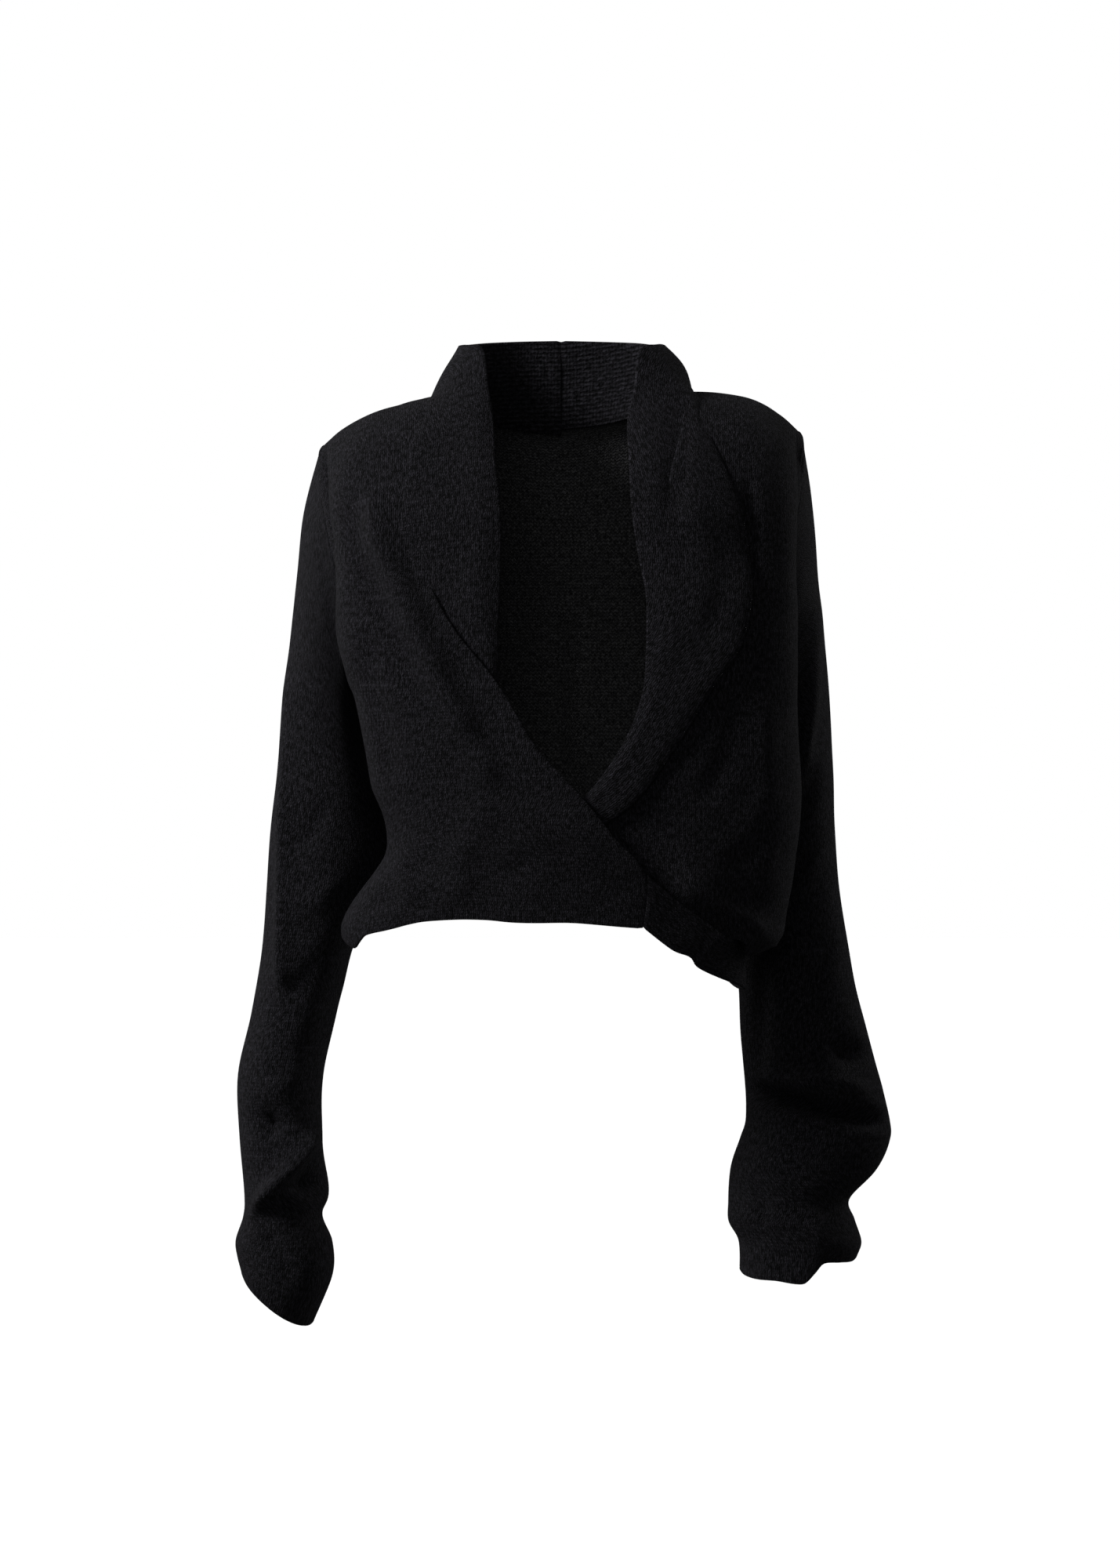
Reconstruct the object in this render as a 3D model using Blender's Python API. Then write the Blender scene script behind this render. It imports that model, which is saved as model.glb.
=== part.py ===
"""Cropped wrap sweater in brushed knit, in the form it takes when it is worn, with nobody in it.

Metres, +Z up. The front faces -Y, and the wearer's right side is at -X. The origin is at the base of
the neck, between the shoulders, where the wearer carries the sweater. Each piece is one wall of knit,
cut and sewn as the real one: back, two fronts that cross, two sleeves, two halves of a shawl collar
and the tie that carries on from the front that lies on top.

Every panel lies on one form of the body, read at a place across (-1 at the right side seam, 0 in the
middle, 1 at the left side seam) and at a row (0 at the hem, TOP_ROW at the shoulder seam).
"""

import math
from collections import namedtuple

import bpy
from mathutils import Vector

# Driving dimensions
WALL = 0.003
SEAM_GAP = 0.0003
SEAM_BEVEL = 0.4 * WALL
UNDERARM_HEIGHT = -0.250
CHEST_HEIGHT = -0.130
SIDE_SEAM_HEM = -0.447
SHOULDER_HALF_WIDTH = 0.207
NECK_HALF_WIDTH = 0.112
COLLAR_CURL = 0.004
TIE_HEM_HEIGHT = -0.440

# How the panels are divided
HEM_ROWS = 12
ARMHOLE_ROWS = 6
CAP_ROWS = 5
CHEST_ROW = HEM_ROWS + ARMHOLE_ROWS
TOP_ROW = CHEST_ROW + CAP_ROWS
FRONT_COLUMNS = 24
BACK_COLUMNS = 30
COLLAR_COLUMNS = 5
TIE_COLUMNS = 2
STEPS_PER_STATION = 2
TIE_STEPS = 3
RINGS_PER_ROW = 2
SHARP_DEGREES = 60

# How the form is rounded
CORNER = 0.85
FULLNESS = 2.45
FOLD_START = 0.17
FOLD_END = 0.47
FOLD_IN = 0.15
SHOULDER_CORNER = 0.97
ROW_CROWDING = 1.2
CAP_CROWDING = 1.35
SEAM_REACH = 0.65

RIGHT = -1
LEFT = 1
FRONT = -1
BACK = 1

Centre = namedtuple("Centre", "height front back")
CENTRE = (
    Centre(-0.500, 0.116, 0.084),
    Centre(-0.450, 0.120, 0.086),
    Centre(-0.400, 0.128, 0.090),
    Centre(-0.330, 0.131, 0.096),
    Centre(-0.250, 0.131, 0.102),
    Centre(-0.190, 0.127, 0.105),
    Centre(-0.130, 0.118, 0.105),
)

# The soft fold where each front turns back towards its side seam
Turn = namedtuple("Turn", "height right left y")
TURN = (
    Turn(-0.500, 0.160, 0.148, -0.020),
    Turn(-0.474, 0.180, 0.170, -0.022),
    Turn(-0.464, 0.187, 0.188, -0.024),
    Turn(-0.450, 0.189, 0.192, -0.028),
    Turn(-0.436, 0.184, 0.194, -0.032),
    Turn(-0.411, 0.167, 0.198, -0.040),
    Turn(-0.389, 0.151, 0.201, -0.048),
    Turn(-0.360, 0.151, 0.204, -0.052),
    Turn(-0.330, 0.162, 0.205, -0.054),
    Turn(-0.285, 0.170, 0.203, -0.057),
    Turn(-0.240, 0.179, 0.202, -0.061),
    Turn(-0.192, 0.188, 0.202, -0.060),
    Turn(-0.130, 0.194, 0.202, -0.050),
)

Seam = namedtuple("Seam", "height right left y")
SIDE_SEAM = (
    Seam(-0.500, 0.135, 0.138, -0.004),
    Seam(-0.450, 0.136, 0.138, -0.002),
    Seam(-0.390, 0.135, 0.137, 0.000),
    Seam(-0.330, 0.135, 0.137, 0.002),
    Seam(-0.290, 0.139, 0.141, 0.004),
    Seam(-0.265, 0.147, 0.149, 0.009),
    Seam(-0.250, 0.155, 0.158, 0.014),
)

# Where the back is widest
BackTurn = namedtuple("BackTurn", "height right left y")
BACK_TURN = (
    BackTurn(-0.500, 0.136, 0.137, 0.016),
    BackTurn(-0.450, 0.137, 0.138, 0.020),
    BackTurn(-0.390, 0.137, 0.138, 0.025),
    BackTurn(-0.330, 0.138, 0.139, 0.030),
    BackTurn(-0.290, 0.141, 0.143, 0.036),
    BackTurn(-0.250, 0.152, 0.155, 0.050),
    BackTurn(-0.220, 0.162, 0.165, 0.072),
    BackTurn(-0.190, 0.171, 0.174, 0.084),
    BackTurn(-0.130, 0.185, 0.188, 0.090),
)

Shoulder = namedtuple("Shoulder", "x right left y")
SHOULDER = (
    Shoulder(0.000, 0.0125, 0.0145, 0.012),
    Shoulder(0.060, 0.0125, 0.0145, 0.012),
    Shoulder(0.112, 0.0100, 0.0145, 0.011),
    Shoulder(0.145, 0.0015, 0.0115, 0.011),
    Shoulder(0.167, -0.0061, 0.0070, 0.011),
    Shoulder(0.191, -0.0197, -0.0060, 0.012),
    Shoulder(0.207, -0.0325, -0.0205, 0.014),
)

BackNeck = namedtuple("BackNeck", "x height y")
BACK_NECK = (
    BackNeck(0.000, -0.0113, 0.078),
    BackNeck(0.036, -0.0075, 0.0745),
    BackNeck(0.062, -0.0030, 0.063),
    BackNeck(0.087, 0.0040, 0.042),
    BackNeck(0.112, 0.0120, 0.011),
)

Hem = namedtuple("Hem", "x height")
OVER_HEM = (
    Hem(-0.189, -0.458),
    Hem(-0.180, -0.466),
    Hem(-0.168, -0.455),
    Hem(-0.146, -0.449),
    Hem(-0.118, -0.442),
    Hem(-0.071, -0.440),
    Hem(-0.034, -0.442),
    Hem(0.000, -0.441),
    Hem(0.067, -0.446),
)
UNDER_HEM = (
    Hem(-0.020, -0.436),
    Hem(0.050, -0.438),
    Hem(0.090, -0.450),
    Hem(0.115, -0.456),
    Hem(0.135, -0.456),
    Hem(0.155, -0.459),
    Hem(0.172, -0.470),
    Hem(0.184, -0.473),
    Hem(0.192, -0.466),
)
BACK_HEM = (
    Hem(-0.137, -0.446),
    Hem(-0.090, -0.440),
    Hem(0.000, -0.437),
    Hem(0.090, -0.440),
    Hem(0.138, -0.446),
)

# The edges of the two fronts, from the neck down: sewn to the collar first, then free
Edge = namedtuple("Edge", "height x")
OVER_EDGE = (
    Edge(0.0100, -0.112),
    Edge(-0.020, -0.117),
    Edge(-0.060, -0.124),
    Edge(-0.095, -0.129),
    Edge(-0.122, -0.1295),
    Edge(-0.142, -0.121),
    Edge(-0.166, -0.108),
    Edge(-0.198, -0.090),
    Edge(-0.221, -0.071),
    Edge(-0.242, -0.054),
    Edge(-0.296, -0.021),
    Edge(-0.340, 0.0185),
    Edge(-0.375, 0.047),
    Edge(-0.402, 0.070),
    Edge(-0.450, 0.067),
)
UNDER_EDGE = (
    Edge(0.0145, 0.112),
    Edge(-0.010, 0.108),
    Edge(-0.045, 0.098),
    Edge(-0.090, 0.090),
    Edge(-0.138, 0.092),
    Edge(-0.190, 0.096),
    Edge(-0.240, 0.092),
    Edge(-0.270, 0.083),
    Edge(-0.300, 0.068),
    Edge(-0.330, 0.050),
    Edge(-0.355, 0.038),
    Edge(-0.380, 0.030),
    Edge(-0.440, 0.012),
)

# How far the top front stands out over what it covers
Lift = namedtuple("Lift", "height lift")
OVER_LIFT = (
    Lift(-0.105, 0.000),
    Lift(-0.130, 0.0045),
    Lift(-0.200, 0.005),
    Lift(-0.260, 0.008),
    Lift(-0.310, 0.0115),
    Lift(-0.370, 0.0115),
    Lift(-0.405, 0.007),
    Lift(-0.450, 0.0068),
)
OVER_LIFT_FULL = 0.075
OVER_LIFT_FADE = 0.140

Ring = namedtuple("Ring", "outer outer_z inner inner_z middle depth bow")
SLEEVE = {
    RIGHT: (
        Ring(0.2070, -0.0325, 0.1550, -0.2500, 0.014, 0.058, 0.012),
        Ring(0.2240, -0.0879, 0.1710, -0.2590, 0.031, 0.057, 0.004),
        Ring(0.2305, -0.1424, 0.1710, -0.2820, 0.039, 0.056, 0.002),
        Ring(0.2399, -0.2242, 0.1660, -0.3160, 0.046, 0.055, 0.000),
        Ring(0.2474, -0.3060, 0.1520, -0.3520, 0.050, 0.055, 0.000),
        Ring(0.2544, -0.3608, 0.1480, -0.3920, 0.055, 0.054, 0.000),
        Ring(0.2585, -0.4158, 0.1640, -0.4260, 0.058, 0.054, 0.000),
        Ring(0.2626, -0.4708, 0.1829, -0.4708, 0.058, 0.053, 0.000),
        Ring(0.2716, -0.5258, 0.1966, -0.5258, 0.056, 0.052, 0.000),
        Ring(0.2833, -0.5808, 0.2083, -0.5808, 0.053, 0.051, 0.000),
        Ring(0.2819, -0.6358, 0.2090, -0.6358, 0.050, 0.051, 0.000),
        Ring(0.2775, -0.6850, 0.2035, -0.6830, 0.048, 0.051, 0.000),
        Ring(0.2785, -0.7045, 0.2090, -0.7035, 0.047, 0.048, 0.000),
        Ring(0.2850, -0.7250, 0.2000, -0.7270, 0.046, 0.048, 0.002),
        Ring(0.2835, -0.7380, 0.2000, -0.7570, 0.045, 0.046, 0.006),
        Ring(0.2790, -0.7480, 0.2170, -0.7970, 0.044, 0.040, 0.010),
    ),
    LEFT: (
        Ring(0.2070, -0.0205, 0.1580, -0.2500, 0.014, 0.058, 0.012),
        Ring(0.2194, -0.0879, 0.1650, -0.2650, 0.027, 0.058, 0.004),
        Ring(0.2242, -0.1424, 0.1640, -0.2870, 0.036, 0.057, 0.002),
        Ring(0.2331, -0.2242, 0.1610, -0.3160, 0.048, 0.054, 0.000),
        Ring(0.2385, -0.3060, 0.1560, -0.3520, 0.058, 0.052, 0.000),
        Ring(0.2405, -0.3609, 0.1510, -0.3920, 0.064, 0.050, 0.000),
        Ring(0.2446, -0.4160, 0.1520, -0.4300, 0.069, 0.049, 0.000),
        Ring(0.2530, -0.4700, 0.1545, -0.4740, 0.071, 0.049, 0.000),
        Ring(0.2611, -0.5124, 0.1564, -0.5124, 0.070, 0.050, 0.000),
        Ring(0.2756, -0.5676, 0.1598, -0.5676, 0.066, 0.052, 0.000),
        Ring(0.2885, -0.6190, 0.1626, -0.6150, 0.062, 0.055, 0.000),
        Ring(0.2885, -0.6400, 0.1570, -0.6370, 0.060, 0.056, 0.000),
        Ring(0.2765, -0.6650, 0.1483, -0.6640, 0.058, 0.054, 0.000),
        Ring(0.2530, -0.6900, 0.1465, -0.6920, 0.057, 0.052, 0.000),
        Ring(0.2575, -0.7080, 0.1470, -0.7090, 0.056, 0.052, 0.000),
        Ring(0.2635, -0.7260, 0.1555, -0.7260, 0.055, 0.051, 0.002),
        Ring(0.2600, -0.7360, 0.1565, -0.7500, 0.054, 0.048, 0.010),
    ),
}

# The collar round the neck: on the back's neckline where no seam_y is given, then on the front
NeckStation = namedtuple("NeckStation", "seam_x seam_y lift edge_x edge_y edge_z swell")
COLLAR_NECK = (
    NeckStation(0.0000, None, 0.0008, 0.000, 0.074, 0.0625, 0.002),
    NeckStation(0.0360, None, 0.0008, 0.036, 0.070, 0.0615, 0.002),
    NeckStation(0.0620, None, 0.0008, 0.066, 0.054, 0.0590, 0.003),
    NeckStation(0.0870, None, 0.0008, 0.085, 0.030, 0.0555, 0.005),
    NeckStation(0.1050, None, 0.0008, 0.090, 0.008, 0.0540, 0.008),
)
COLLAR_SHOULDER = {
    RIGHT: (
        NeckStation(0.1112, 0.004, 0.0008, 0.083, -0.012, 0.0530, 0.009),
        NeckStation(0.1112, -0.012, 0.0008, 0.069, -0.028, 0.0480, 0.008),
        NeckStation(0.1128, -0.033, 0.0004, 0.064, -0.045, 0.0150, 0.006),
    ),
    LEFT: (
        NeckStation(0.1120, 0.004, 0.0022, 0.083, -0.012, 0.0530, 0.009),
        NeckStation(0.1140, -0.012, 0.0040, 0.069, -0.028, 0.0480, 0.008),
        NeckStation(0.1175, -0.033, 0.0050, 0.064, -0.045, 0.0150, 0.006),
    ),
}

# The left half stands out more than the right one
SWELL_SHARE = {RIGHT: 0.35, LEFT: 1.0}

# The collar on the chest, from the side of the neck to its tip
ChestStation = namedtuple("ChestStation", "outer_x outer_z inner_x inner_z lift")
COLLAR_CHEST = {
    RIGHT: (
        ChestStation(-0.1175, -0.0300, -0.0580, -0.0150, 0.0000),
        ChestStation(-0.1232, -0.0620, -0.0569, -0.0500, 0.0000),
        ChestStation(-0.1273, -0.0980, -0.0530, -0.0850, 0.0000),
        ChestStation(-0.1275, -0.1230, -0.0512, -0.1150, 0.0000),
        ChestStation(-0.1200, -0.1420, -0.0516, -0.1390, 0.0000),
        ChestStation(-0.1160, -0.1660, -0.0525, -0.1650, 0.0000),
        ChestStation(-0.1010, -0.1980, -0.0536, -0.1940, 0.0000),
        ChestStation(-0.0850, -0.2220, -0.0534, -0.2210, 0.0000),
        ChestStation(-0.0740, -0.2450, -0.0532, -0.2450, 0.0000),
        ChestStation(-0.0720, -0.2680, -0.0530, -0.2680, 0.0000),
        ChestStation(-0.0710, -0.2900, -0.0540, -0.2900, 0.0000),
    ),
    LEFT: (
        ChestStation(0.1250, -0.0300, 0.0575, -0.0150, 0.0050),
        ChestStation(0.1370, -0.0600, 0.0584, -0.0470, 0.0065),
        ChestStation(0.1500, -0.0930, 0.0602, -0.0880, 0.0065),
        ChestStation(0.1562, -0.1310, 0.0655, -0.1290, 0.0065),
        ChestStation(0.1560, -0.1720, 0.0718, -0.1640, 0.0065),
        ChestStation(0.1470, -0.2090, 0.0728, -0.1950, 0.0065),
        ChestStation(0.1270, -0.2390, 0.0718, -0.2200, 0.0065),
        ChestStation(0.1097, -0.2672, 0.0700, -0.2450, 0.0065),
        ChestStation(0.0938, -0.2925, 0.0630, -0.2690, 0.0065),
        ChestStation(0.0751, -0.3198, 0.0515, -0.2940, 0.0065),
        ChestStation(0.0572, -0.3404, 0.0364, -0.3178, 0.0065),
        ChestStation(0.0386, -0.3543, 0.0205, -0.3363, 0.0065),
        ChestStation(0.0150, -0.3670, 0.0010, -0.3510, 0.0065),
        ChestStation(-0.0060, -0.3760, -0.0180, -0.3620, 0.0065),
    ),
}

# The tie: from the top front's edge along the other front, free past the side, then on the back
TieStation = namedtuple("TieStation", "face x top_z bottom_z y lift")
TIE = (
    TieStation(FRONT, None, -0.4030, -0.4455, None, 0.0068),
    TieStation(FRONT, 0.0955, -0.4250, -0.4650, None, 0.0052),
    TieStation(FRONT, 0.1220, -0.4450, -0.4727, None, 0.0052),
    TieStation(FRONT, 0.1400, -0.4575, -0.4830, None, 0.0052),
    TieStation(None, 0.1540, -0.4600, -0.4980, -0.064, None),
    TieStation(None, 0.1580, -0.4630, -0.5020, -0.028, None),
    TieStation(None, 0.1500, -0.4640, -0.4990, 0.016, None),
    TieStation(BACK, 0.1270, -0.4400, -0.4740, None, 0.0046),
    TieStation(BACK, 0.0950, -0.4200, -0.4540, None, 0.0042),
    TieStation(BACK, 0.0550, -0.4080, -0.4400, None, 0.0042),
    TieStation(BACK, 0.0100, -0.4020, -0.4320, None, 0.0042),
)

# The largest folds, as lines on the front or back view: a ridge stands out, a trough goes in
Fold = namedtuple("Fold", "face path height width")
BODY_FOLDS = (
    Fold(
        FRONT,
        ((-0.162, -0.085), (-0.151, -0.123), (-0.138, -0.158), (-0.121, -0.197), (-0.090, -0.264), (-0.072, -0.296)),
        0.006,
        0.017,
    ),
    Fold(FRONT, ((-0.142, -0.373), (-0.135, -0.401), (-0.125, -0.435)), 0.004, 0.010),
    Fold(FRONT, ((-0.060, -0.330), (-0.085, -0.390), (-0.090, -0.440)), 0.003, 0.014),
    Fold(BACK, ((0.007, -0.150), (0.007, -0.250), (0.010, -0.345)), -0.007, 0.012),
    Fold(BACK, ((-0.120, -0.150), (-0.085, -0.260), (-0.070, -0.380)), 0.005, 0.018),
    Fold(BACK, ((0.125, -0.170), (0.095, -0.270), (0.075, -0.360)), 0.004, 0.016),
)
BLOUSE_FOLDS = (
    Fold(FRONT, ((0.086, -0.398), (0.100, -0.409), (0.167, -0.448), (0.186, -0.456)), 0.009, 0.010),
    Fold(FRONT, ((0.170, -0.240), (0.176, -0.330), (0.172, -0.430)), 0.003, 0.012),
)
SLEEVE_FOLDS = {
    RIGHT: (
        Fold(FRONT, ((-0.239, -0.220), (-0.241, -0.360), (-0.241, -0.520)), 0.004, 0.012),
        Fold(FRONT, ((-0.206, -0.620), (-0.236, -0.660), (-0.272, -0.702)), 0.007, 0.010),
        Fold(FRONT, ((-0.268, -0.618), (-0.236, -0.634)), -0.006, 0.010),
        Fold(FRONT, ((-0.230, -0.655), (-0.212, -0.675), (-0.206, -0.700)), -0.007, 0.010),
        Fold(BACK, ((-0.205, -0.330), (-0.225, -0.420), (-0.232, -0.520)), 0.004, 0.012),
        Fold(BACK, ((-0.275, -0.640), (-0.240, -0.655), (-0.205, -0.690)), 0.006, 0.011),
    ),
    LEFT: (
        Fold(FRONT, ((0.224, -0.150), (0.218, -0.249), (0.207, -0.320)), 0.004, 0.010),
        Fold(FRONT, ((0.177, -0.472), (0.172, -0.530), (0.170, -0.595)), -0.004, 0.008),
        Fold(FRONT, ((0.190, -0.578), (0.212, -0.583), (0.278, -0.592)), 0.006, 0.010),
        Fold(FRONT, ((0.162, -0.594), (0.222, -0.608), (0.284, -0.622)), -0.007, 0.009),
        Fold(FRONT, ((0.232, -0.562), (0.268, -0.568)), -0.006, 0.010),
        Fold(BACK, ((0.200, -0.330), (0.215, -0.440), (0.220, -0.540)), 0.004, 0.012),
        Fold(BACK, ((0.165, -0.620), (0.220, -0.610), (0.280, -0.632)), 0.006, 0.011),
    ),
}
FOLD_FADE = 0.030

KNIT_COLOUR = (0.030, 0.029, 0.033, 1.0)
KNIT_ROUGHNESS = 0.9


def mix(first, second, share):
    return first + (second - first) * share


def ease(share):
    """Rises from 0 to 1 with level ends."""
    share = min(max(share, 0.0), 1.0)
    return share * share * (3.0 - 2.0 * share)


def slope(keys, values, index):
    """The slope of a smooth curve at one row of a table."""
    before = max(index - 1, 0)
    after = min(index + 1, len(keys) - 1)
    return (values[after] - values[before]) / (keys[after] - keys[before])


def read(table, column, at):
    """A column of a table at any key, on a smooth curve through its rows."""
    rows = sorted(table, key=lambda row: row[0])
    keys = [row[0] for row in rows]
    values = [getattr(row, column) for row in rows]
    if at <= keys[0]:
        return values[0]
    if at >= keys[-1]:
        return values[-1]
    index = max(i for i, key in enumerate(keys) if key <= at)
    span = keys[index + 1] - keys[index]
    share = (at - keys[index]) / span
    start = slope(keys, values, index) * span
    end = slope(keys, values, index + 1) * span
    cube = share**3
    square = share**2
    return (
        (2 * cube - 3 * square + 1) * values[index]
        + (cube - 2 * square + share) * start
        + (3 * square - 2 * cube) * values[index + 1]
        + (cube - square) * end
    )


def through(points, at):
    """A point on the smooth curve through a list of points, at a fractional index."""
    index = min(int(at), len(points) - 2)
    share = at - index
    previous = points[max(index - 1, 0)]
    first = points[index]
    second = points[index + 1]
    following = points[min(index + 2, len(points) - 1)]
    start = (second - previous) / 2
    end = (following - first) / 2
    cube = share**3
    square = share**2
    return (
        first * (2 * cube - 3 * square + 1)
        + start * (cube - 2 * square + share)
        + second * (3 * square - 2 * cube)
        + end * (cube - square)
    )


def side_of(across):
    return LEFT if across >= 0 else RIGHT


def side_column(side):
    return "left" if side == LEFT else "right"


def ring_point(side, ring, angle):
    """A point of a sleeve's ring: angle 0 at its outer point, then forwards, then its inner point."""
    outer = Vector((side * ring.outer, 0.0, ring.outer_z))
    inner = Vector((side * ring.inner, 0.0, ring.inner_z))
    half = (outer - inner) / 2
    along = Vector((side * half.z, 0.0, -side * half.x)).normalized()
    point = (outer + inner) / 2 + half * math.cos(angle) + along * ring.bow * abs(math.sin(angle))
    point.y = ring.middle - ring.depth * math.sin(angle)
    return point


def armhole_point(face, side, row):
    """The seam between a panel and its sleeve, from the underarm up to the shoulder."""
    share = (row - HEM_ROWS) / (TOP_ROW - HEM_ROWS)
    angle = math.pi * (1 - share)
    return ring_point(side, SLEEVE[side][0], -face * angle)


def spread(across):
    """How far out and how far forward a place across lies, 0 to 1, and how far past the turn."""
    place = abs(across)
    if place <= CORNER:
        angle = place / CORNER * math.pi / 2
        return math.sin(angle) ** (2 / FULLNESS), math.cos(angle) ** (2 / FULLNESS), 0.0
    return 1.0, 0.0, (place - CORNER) / (1 - CORNER)


def section_point(face, across, height, seam=None):
    """A point of the form's level section: a full curve to the turn, then a fold back to the seam."""
    side = side_of(across)
    column = side_column(side)
    table = TURN if face == FRONT else BACK_TURN
    turn = Vector((side * read(table, column, height), read(table, "y", height), height))
    out, forward, turned = spread(across)
    if turned == 0.0:
        middle = face * read(CENTRE, "front" if face == FRONT else "back", height)
        return Vector((turn.x * out, mix(turn.y, middle, forward), height))
    if seam is None:
        seam = Vector((side * read(SIDE_SEAM, column, height), read(SIDE_SEAM, "y", height), height))
    back = Vector((turn.x, mix(turn.y, seam.y, FOLD_START), height))
    inward = Vector((mix(seam.x, turn.x, FOLD_IN), mix(seam.y, turn.y, FOLD_END), height))
    first = mix(turn, back, turned)
    second = mix(back, inward, turned)
    third = mix(inward, seam, turned)
    point = mix(mix(first, second, turned), mix(second, third, turned), turned)
    point.z = height
    return point


def top_point(face, across):
    """A point of the shoulder line, or of the back neckline between the shoulders."""
    side = side_of(across)
    out, _, turned = spread(across)
    distance = SHOULDER_HALF_WIDTH * mix(SHOULDER_CORNER * out, 1.0, turned)
    height = read(SHOULDER, side_column(side), distance)
    y = read(SHOULDER, "y", distance)
    if face == BACK and distance < NECK_HALF_WIDTH:
        level = read(SHOULDER, side_column(side), NECK_HALF_WIDTH) - BACK_NECK[-1].height
        height = read(BACK_NECK, "height", distance) + level * (distance / NECK_HALF_WIDTH) ** 2
        y = read(BACK_NECK, "y", distance)
    return Vector((side * distance, y, height))


def hem_height(hem, across, width):
    side = side_of(across)
    out, _, turned = spread(across)
    height = read(hem, "height", side * out * width)
    return mix(height, SIDE_SEAM_HEM, turned)


def cap_angle(row):
    """How far a row has gone over the shoulder, with the rows closer together near the seam."""
    share = (row - CHEST_ROW) / CAP_ROWS
    return (1 - (1 - share) ** CAP_CROWDING) * math.pi / 2


def bare_form(face, hem, across, row):
    """The form without its fit to the armhole."""
    if row <= HEM_ROWS:
        turns = TURN if face == FRONT else BACK_TURN
        width = read(turns, side_column(side_of(across)), SIDE_SEAM_HEM)
        start = hem_height(hem, across, width)
        height = mix(start, UNDERARM_HEIGHT, (row / HEM_ROWS) ** ROW_CROWDING)
        return section_point(face, across, height)
    if row <= CHEST_ROW:
        height = mix(UNDERARM_HEIGHT, CHEST_HEIGHT, (row - HEM_ROWS) / ARMHOLE_ROWS)
        return section_point(face, across, height, armhole_point(face, side_of(across), row))
    angle = cap_angle(row)
    base = section_point(face, across, CHEST_HEIGHT, armhole_point(face, side_of(across), CHEST_ROW))
    top = top_point(face, across)
    return Vector(
        (
            mix(base.x, top.x, math.sin(angle)),
            mix(top.y, base.y, math.cos(angle)),
            mix(base.z, top.z, math.sin(angle)),
        )
    )


def form_point(face, hem, across, row):
    """A point of the body's form: the panels lie on it."""
    point = bare_form(face, hem, across, row)
    if row <= HEM_ROWS:
        return point
    side = side_of(across)
    miss = armhole_point(face, side, row) - bare_form(face, hem, side, row)
    return point + miss * ease((abs(across) - SEAM_REACH) / (1 - SEAM_REACH))


def solve(low, high, error):
    """Where a rising function is nought, by halving."""
    for _ in range(28):
        middle = (low + high) / 2
        if error(middle) < 0:
            low = middle
        else:
            high = middle
    return (low + high) / 2


def place_on_form(face, hem, x, height):
    """The place across and the row of the form's point with this x and height."""
    across = 0.5 * side_of(x)
    row = TOP_ROW / 2
    for _ in range(5):
        row = solve(0, TOP_ROW, lambda value: form_point(face, hem, across, value).z - height)
        across = solve(-CORNER, CORNER, lambda value: form_point(face, hem, value, row).x - x)
    return across, row


def edge_place(hem, edge, row):
    """The place across where a row meets the edge of a front."""

    def past(value):
        point = form_point(FRONT, hem, value, row)
        return point.x - read(edge, "x", point.z)

    return solve(-CORNER, CORNER, past)


def grid_normals(grid, closed=False):
    """Normals of a grid of points, on the side where the columns turn left from the rows."""
    normals = []
    for i, line in enumerate(grid):
        below = grid[max(i - 1, 0)]
        above = grid[min(i + 1, len(grid) - 1)]
        row = []
        for j in range(len(line)):
            if closed:
                before = line[j - 1]
                after = line[(j + 1) % len(line)]
            else:
                before = line[max(j - 1, 0)]
                after = line[min(j + 1, len(line) - 1)]
            row.append((after - before).cross(above[j] - below[j]).normalized())
        normals.append(row)
    return normals


def fold_height(fold, point):
    """How far a fold moves the cloth at a point of the view that shows it."""
    nearest = math.inf
    at = 0.0
    length = 0.0
    for start, end in zip(fold.path, fold.path[1:]):
        step_x = end[0] - start[0]
        step_z = end[1] - start[1]
        span = math.hypot(step_x, step_z)
        share = ((point.x - start[0]) * step_x + (point.z - start[1]) * step_z) / span**2
        share = min(max(share, 0.0), 1.0)
        away = math.hypot(point.x - start[0] - share * step_x, point.z - start[1] - share * step_z)
        if away < nearest:
            nearest = away
            at = length + share * span
        length += span
    reach = min(at, length - at)
    return fold.height * math.exp(-((nearest / fold.width) ** 2)) * ease(reach / FOLD_FADE)


def shaped(grid, folds, lift=None, closed=False):
    """The grid moved out along its normals by its folds and its lift."""
    moved = []
    for line, normals in zip(grid, grid_normals(grid, closed)):
        row = []
        for point, normal in zip(line, normals):
            height = lift(point) if lift else 0.0
            for fold in folds:
                height += fold_height(fold, point) * max(normal.y * fold.face, 0.0)
            row.append(point + normal * height)
        moved.append(row)
    return moved


def trimmed(grid, sides, gap):
    """The grid with the named borders drawn in."""
    grid = [list(line) for line in grid]
    if "left" in sides:
        for line in grid:
            line[0] += (line[1] - line[0]).normalized() * gap
    if "right" in sides:
        for line in grid:
            line[-1] += (line[-2] - line[-1]).normalized() * gap
    if "bottom" in sides:
        grid[0] = [a + (b - a).normalized() * gap for a, b in zip(grid[0], grid[1])]
    if "top" in sides:
        grid[-1] = [a + (b - a).normalized() * gap for a, b in zip(grid[-1], grid[-2])]
    return grid


def knit_material(name):
    material = bpy.data.materials.new(name)
    material.use_nodes = True
    shader = material.node_tree.nodes["Principled BSDF"]
    shader.inputs["Base Color"].default_value = KNIT_COLOUR
    shader.inputs["Roughness"].default_value = KNIT_ROUGHNESS
    shader.inputs["Metallic"].default_value = 0.0
    return material


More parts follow.
